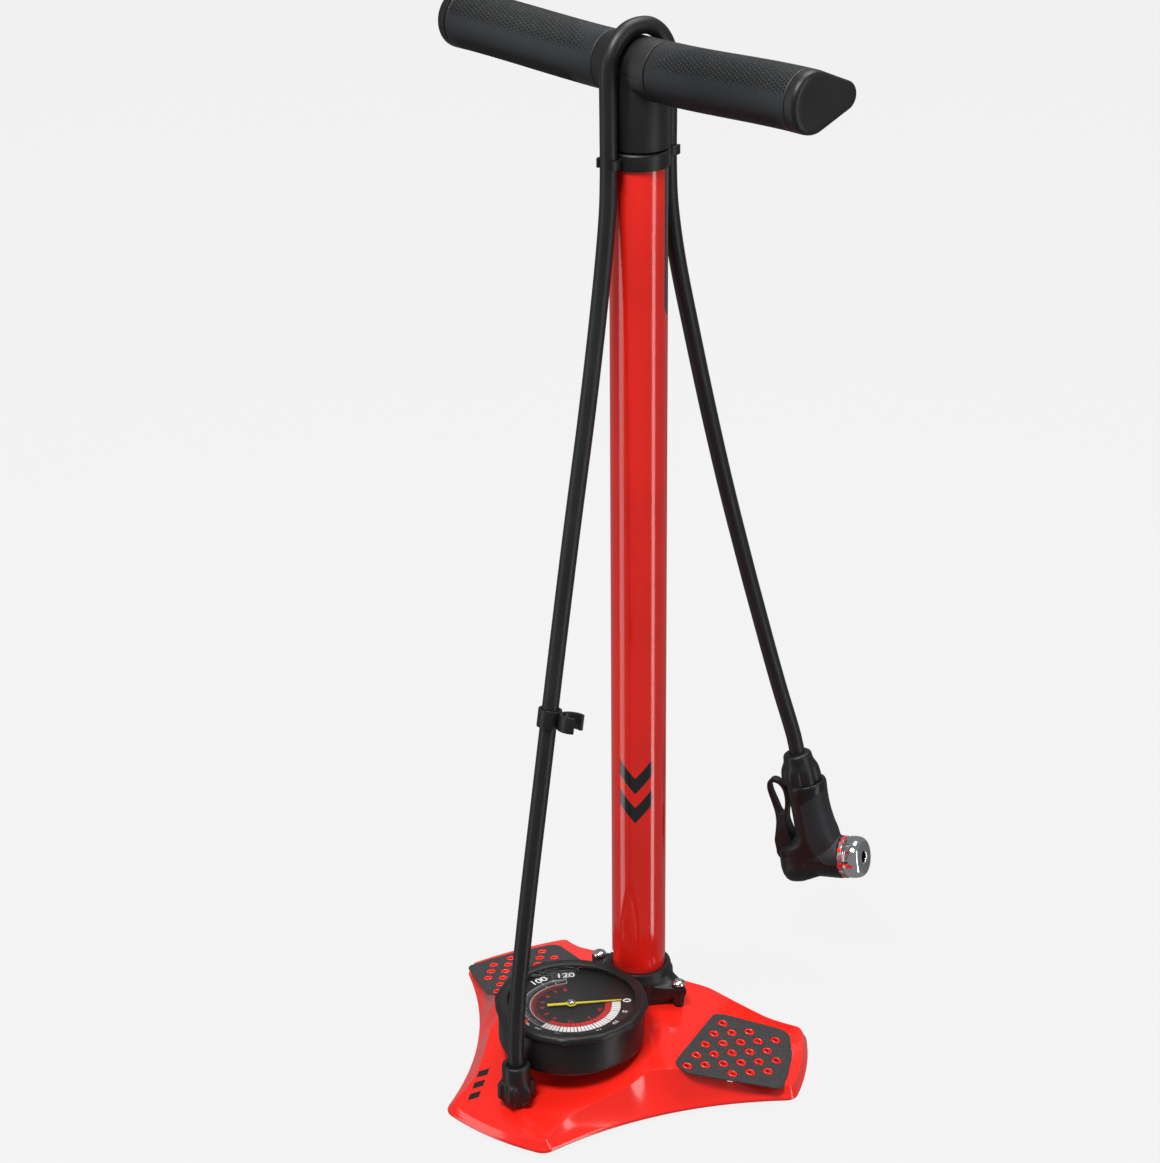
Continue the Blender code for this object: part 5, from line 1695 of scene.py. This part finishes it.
def hose_route(finer):
    """The hose's middle line, from the foot plate over the handle to the chuck."""
    turn = Matrix.Rotation(UPPER_TURN, 3, "Z")

    def leg(offset, height):
        return turn @ Vector((0, offset, height))

    points = [
        Vector((0, OUTLET_AT.y - AXIS_Y, HOSE_BOTTOM)), Vector((0, -0.1323, 0.0600)),
        Vector((0, -0.1279, 0.0975)), Vector((0, -0.1177, 0.1534)),
        Vector((0, -0.1016, 0.2298)), Vector((-0.0010, -0.0832, 0.3101)),
        Vector((-0.0020, -0.0659, 0.3824)), Vector((-0.0030, -0.0481, 0.4532)),
        Vector((-0.0037, -0.0345, 0.5150)), Vector((-0.0041, -0.0262, 0.5620)),
        leg(-LEG_OFFSET, 0.5900), leg(-LEG_OFFSET, 0.6200),
    ]
    spans = [1, 2, 3, 4, 4, 3, 3, 3, 3, 2, 2]
    for degrees in (180, 155, 130, 105, 75, 50, 25, 0):
        a = math.radians(degrees)
        rise = (LOOP_TOP - HANDLE_Z) * math.sin(a)
        points.append(leg(LEG_OFFSET * math.cos(a), HANDLE_Z + rise))
        spans.append(2)
    points += [leg(LEG_OFFSET, 0.6200), leg(LEG_OFFSET, 0.5900), Vector((0.0043, 0.0262, 0.5620)),
               Vector((0.0044, 0.0345, 0.5250)), Vector((0.0045, 0.0495, 0.4774)),
               Vector((0.0042, 0.0694, 0.4191)), Vector((0.0045, 0.0911, 0.3579)),
               Vector((0.0062, 0.1139, 0.2943)), Vector((0.0085, 0.1241, 0.2624)),
               Vector((0.0122, 0.1326, 0.2309)), Vector((0.0183, 0.1380, 0.2010))]
    spans += [2, 2, 2, 2, 2, 3, 3, 3, 2, 2, 2]
    chuck_top = CHUCK_AT - Vector((0, AXIS_Y, 0))
    points += [chuck_top + HOSE_WAY * 0.0120, chuck_top + HOSE_WAY * -0.0077]
    spans += [2, 1]
    route = route_between(points, [count * finer for count in spans])
    return [TO_BARREL @ point for point in route]


def tube_rings(path, radius, count):
    """Rings round a line, carried along it without twisting."""
    rings = []
    across = Vector((1, 0, 0))
    last = len(path) - 1
    for i, point in enumerate(path):
        way = (path[min(i + 1, last)] - path[max(i - 1, 0)]).normalized()
        across = (across - way * across.dot(way)).normalized()
        other = way.cross(across)
        rings.append([point + (across * x + other * y) * radius
                      for x, y, _ in loop(count, 0.0, lambda a: 1.0)])
    return rings


class FLOORPUMP_OT_air_hose(bpy.types.Operator):
    """Air hose from the foot plate up, over the handle and down to the chuck"""

    bl_idname = "floor_pump.air_hose"
    bl_label = "Air hose"

    def execute(self, context):
        diameter = settings(context).hose_diameter
        path = hose_route(3)
        hose = wrapped(tube_rings(path, diameter / 2, 40))
        length = sum((b - a).length for a, b in zip(path, path[1:]))
        done(hose, "air_hose", "rubber", "black_rubber", None, "hose", smooth=50.0)
        with_pieces = [bpy.data.objects[name] for name in (
            "chuck_cap_nut", "chuck_shell", "thumb_lever", "chuck_ring", "chuck_nose",
            "hose_keeper")]
        with_pieces += [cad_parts[name] for name in (
            "lever_pin", "chuck_plunger", "chuck_gasket")]
        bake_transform(hose)
        return {"FINISHED"}


class FLOORPUMP_OT_valve_spring(bpy.types.Operator):
    """Spring under the check valve's disc"""

    bl_idname = "floor_pump.valve_spring"
    bl_label = "Valve spring"

    def execute(self, context):
        low, high, outer = measured("check_valve_spring")
        wire = 0.00033
        turns = 4
        radius = outer - wire
        steps = 160
        line = []
        for i in range(steps + 1):
            a = turns * 2 * math.pi * i / steps
            height = low.z + wire + (high.z - low.z - 2 * wire) * i / steps
            line.append(Vector((radius * math.cos(a), radius * math.sin(a), height)))
        spring = put(wrapped(tube_rings(line, wire, 12)), TO_BARREL)
        done(spring, "valve_spring", "steel", "steel", "pump_body", "check_valve_spring",
             smooth=60.0)
        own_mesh(spring)
        return {"FINISHED"}


class FLOORPUMP_OT_inner_parts(bpy.types.Operator):
    """Finishes of the pieces inside the barrel, the foot plate, the gauge and the chuck"""

    bl_idname = "floor_pump.inner_parts"
    bl_label = "Inner parts"

    def execute(self, context):
        wear = {
            "brass": ("bourdon_tube", "movement_plate", "sector_gear", "gauge_stem",
                      "outlet_fitting", "valve_body"),
            "steel": ("needle_spindle", "chuck_plunger", "piston_nut",
                      "rod_lock_nut"),
            "rubber": ("barrel_seal", "check_valve_disc", "check_valve_seat", "chuck_gasket",
                       "piston_cup", "top_out_bumper"),
            "moulding": ("air_duct", "lever_pin", "piston_head", "rod_bush"),
            "marker": ("pressure_marker",),
        }
        dressed = set()
        for finish_name, names in wear.items():
            for name in names:
                dress(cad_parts[name], finish_name)
                dressed.add(name)
        left = {name for name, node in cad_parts.items() if not node.hide_render} - dressed
        if left:
            raise ValueError("no finish for " + ", ".join(sorted(left)))
        return {"FINISHED"}


class VIEW3D_PT_floor_pump(bpy.types.Panel):
    """Sizes, colours and one button for each piece"""

    bl_label = "Floor pump"
    bl_idname = "VIEW3D_PT_floor_pump"
    bl_space_type = "VIEW_3D"
    bl_region_type = "UI"
    bl_category = "Floor pump"

    def draw(self, context):
        for group in (context.scene.floor_pump_sizes, context.scene.floor_pump_colours):
            box = self.layout.box()
            for name in group.__annotations__:
                box.prop(group, name)
        column = self.layout.column(align=True)
        for piece in PIECES:
            column.operator(piece.bl_idname)


PIECES = (
    FLOORPUMP_OT_stage, FLOORPUMP_OT_barrel, FLOORPUMP_OT_foot_plate, FLOORPUMP_OT_grip_sheets,
    FLOORPUMP_OT_feet, FLOORPUMP_OT_collar, FLOORPUMP_OT_gauge_case, FLOORPUMP_OT_gauge_rim,
    FLOORPUMP_OT_gauge_face, FLOORPUMP_OT_hand_nut, FLOORPUMP_OT_top_cap, FLOORPUMP_OT_piston,
    FLOORPUMP_OT_handle, FLOORPUMP_OT_chuck, FLOORPUMP_OT_hose_keeper, FLOORPUMP_OT_air_hose,
    FLOORPUMP_OT_valve_spring, FLOORPUMP_OT_inner_parts,
)
CLASSES = (FloorPumpSizes, FloorPumpColours) + PIECES + (VIEW3D_PT_floor_pump,)


def register():
    for cls in CLASSES:
        bpy.utils.register_class(cls)
    bpy.types.Scene.floor_pump_sizes = PointerProperty(type=FloorPumpSizes)
    bpy.types.Scene.floor_pump_colours = PointerProperty(type=FloorPumpColours)


def unregister():
    del bpy.types.Scene.floor_pump_colours
    del bpy.types.Scene.floor_pump_sizes
    for cls in reversed(CLASSES):
        bpy.utils.unregister_class(cls)


def main():
    register()
    make_finishes(bpy.context.scene.floor_pump_colours)
    for piece in PIECES:
        group, name = piece.bl_idname.split(".")
        getattr(getattr(bpy.ops, group), name)()


if __name__ == "__main__":
    main()
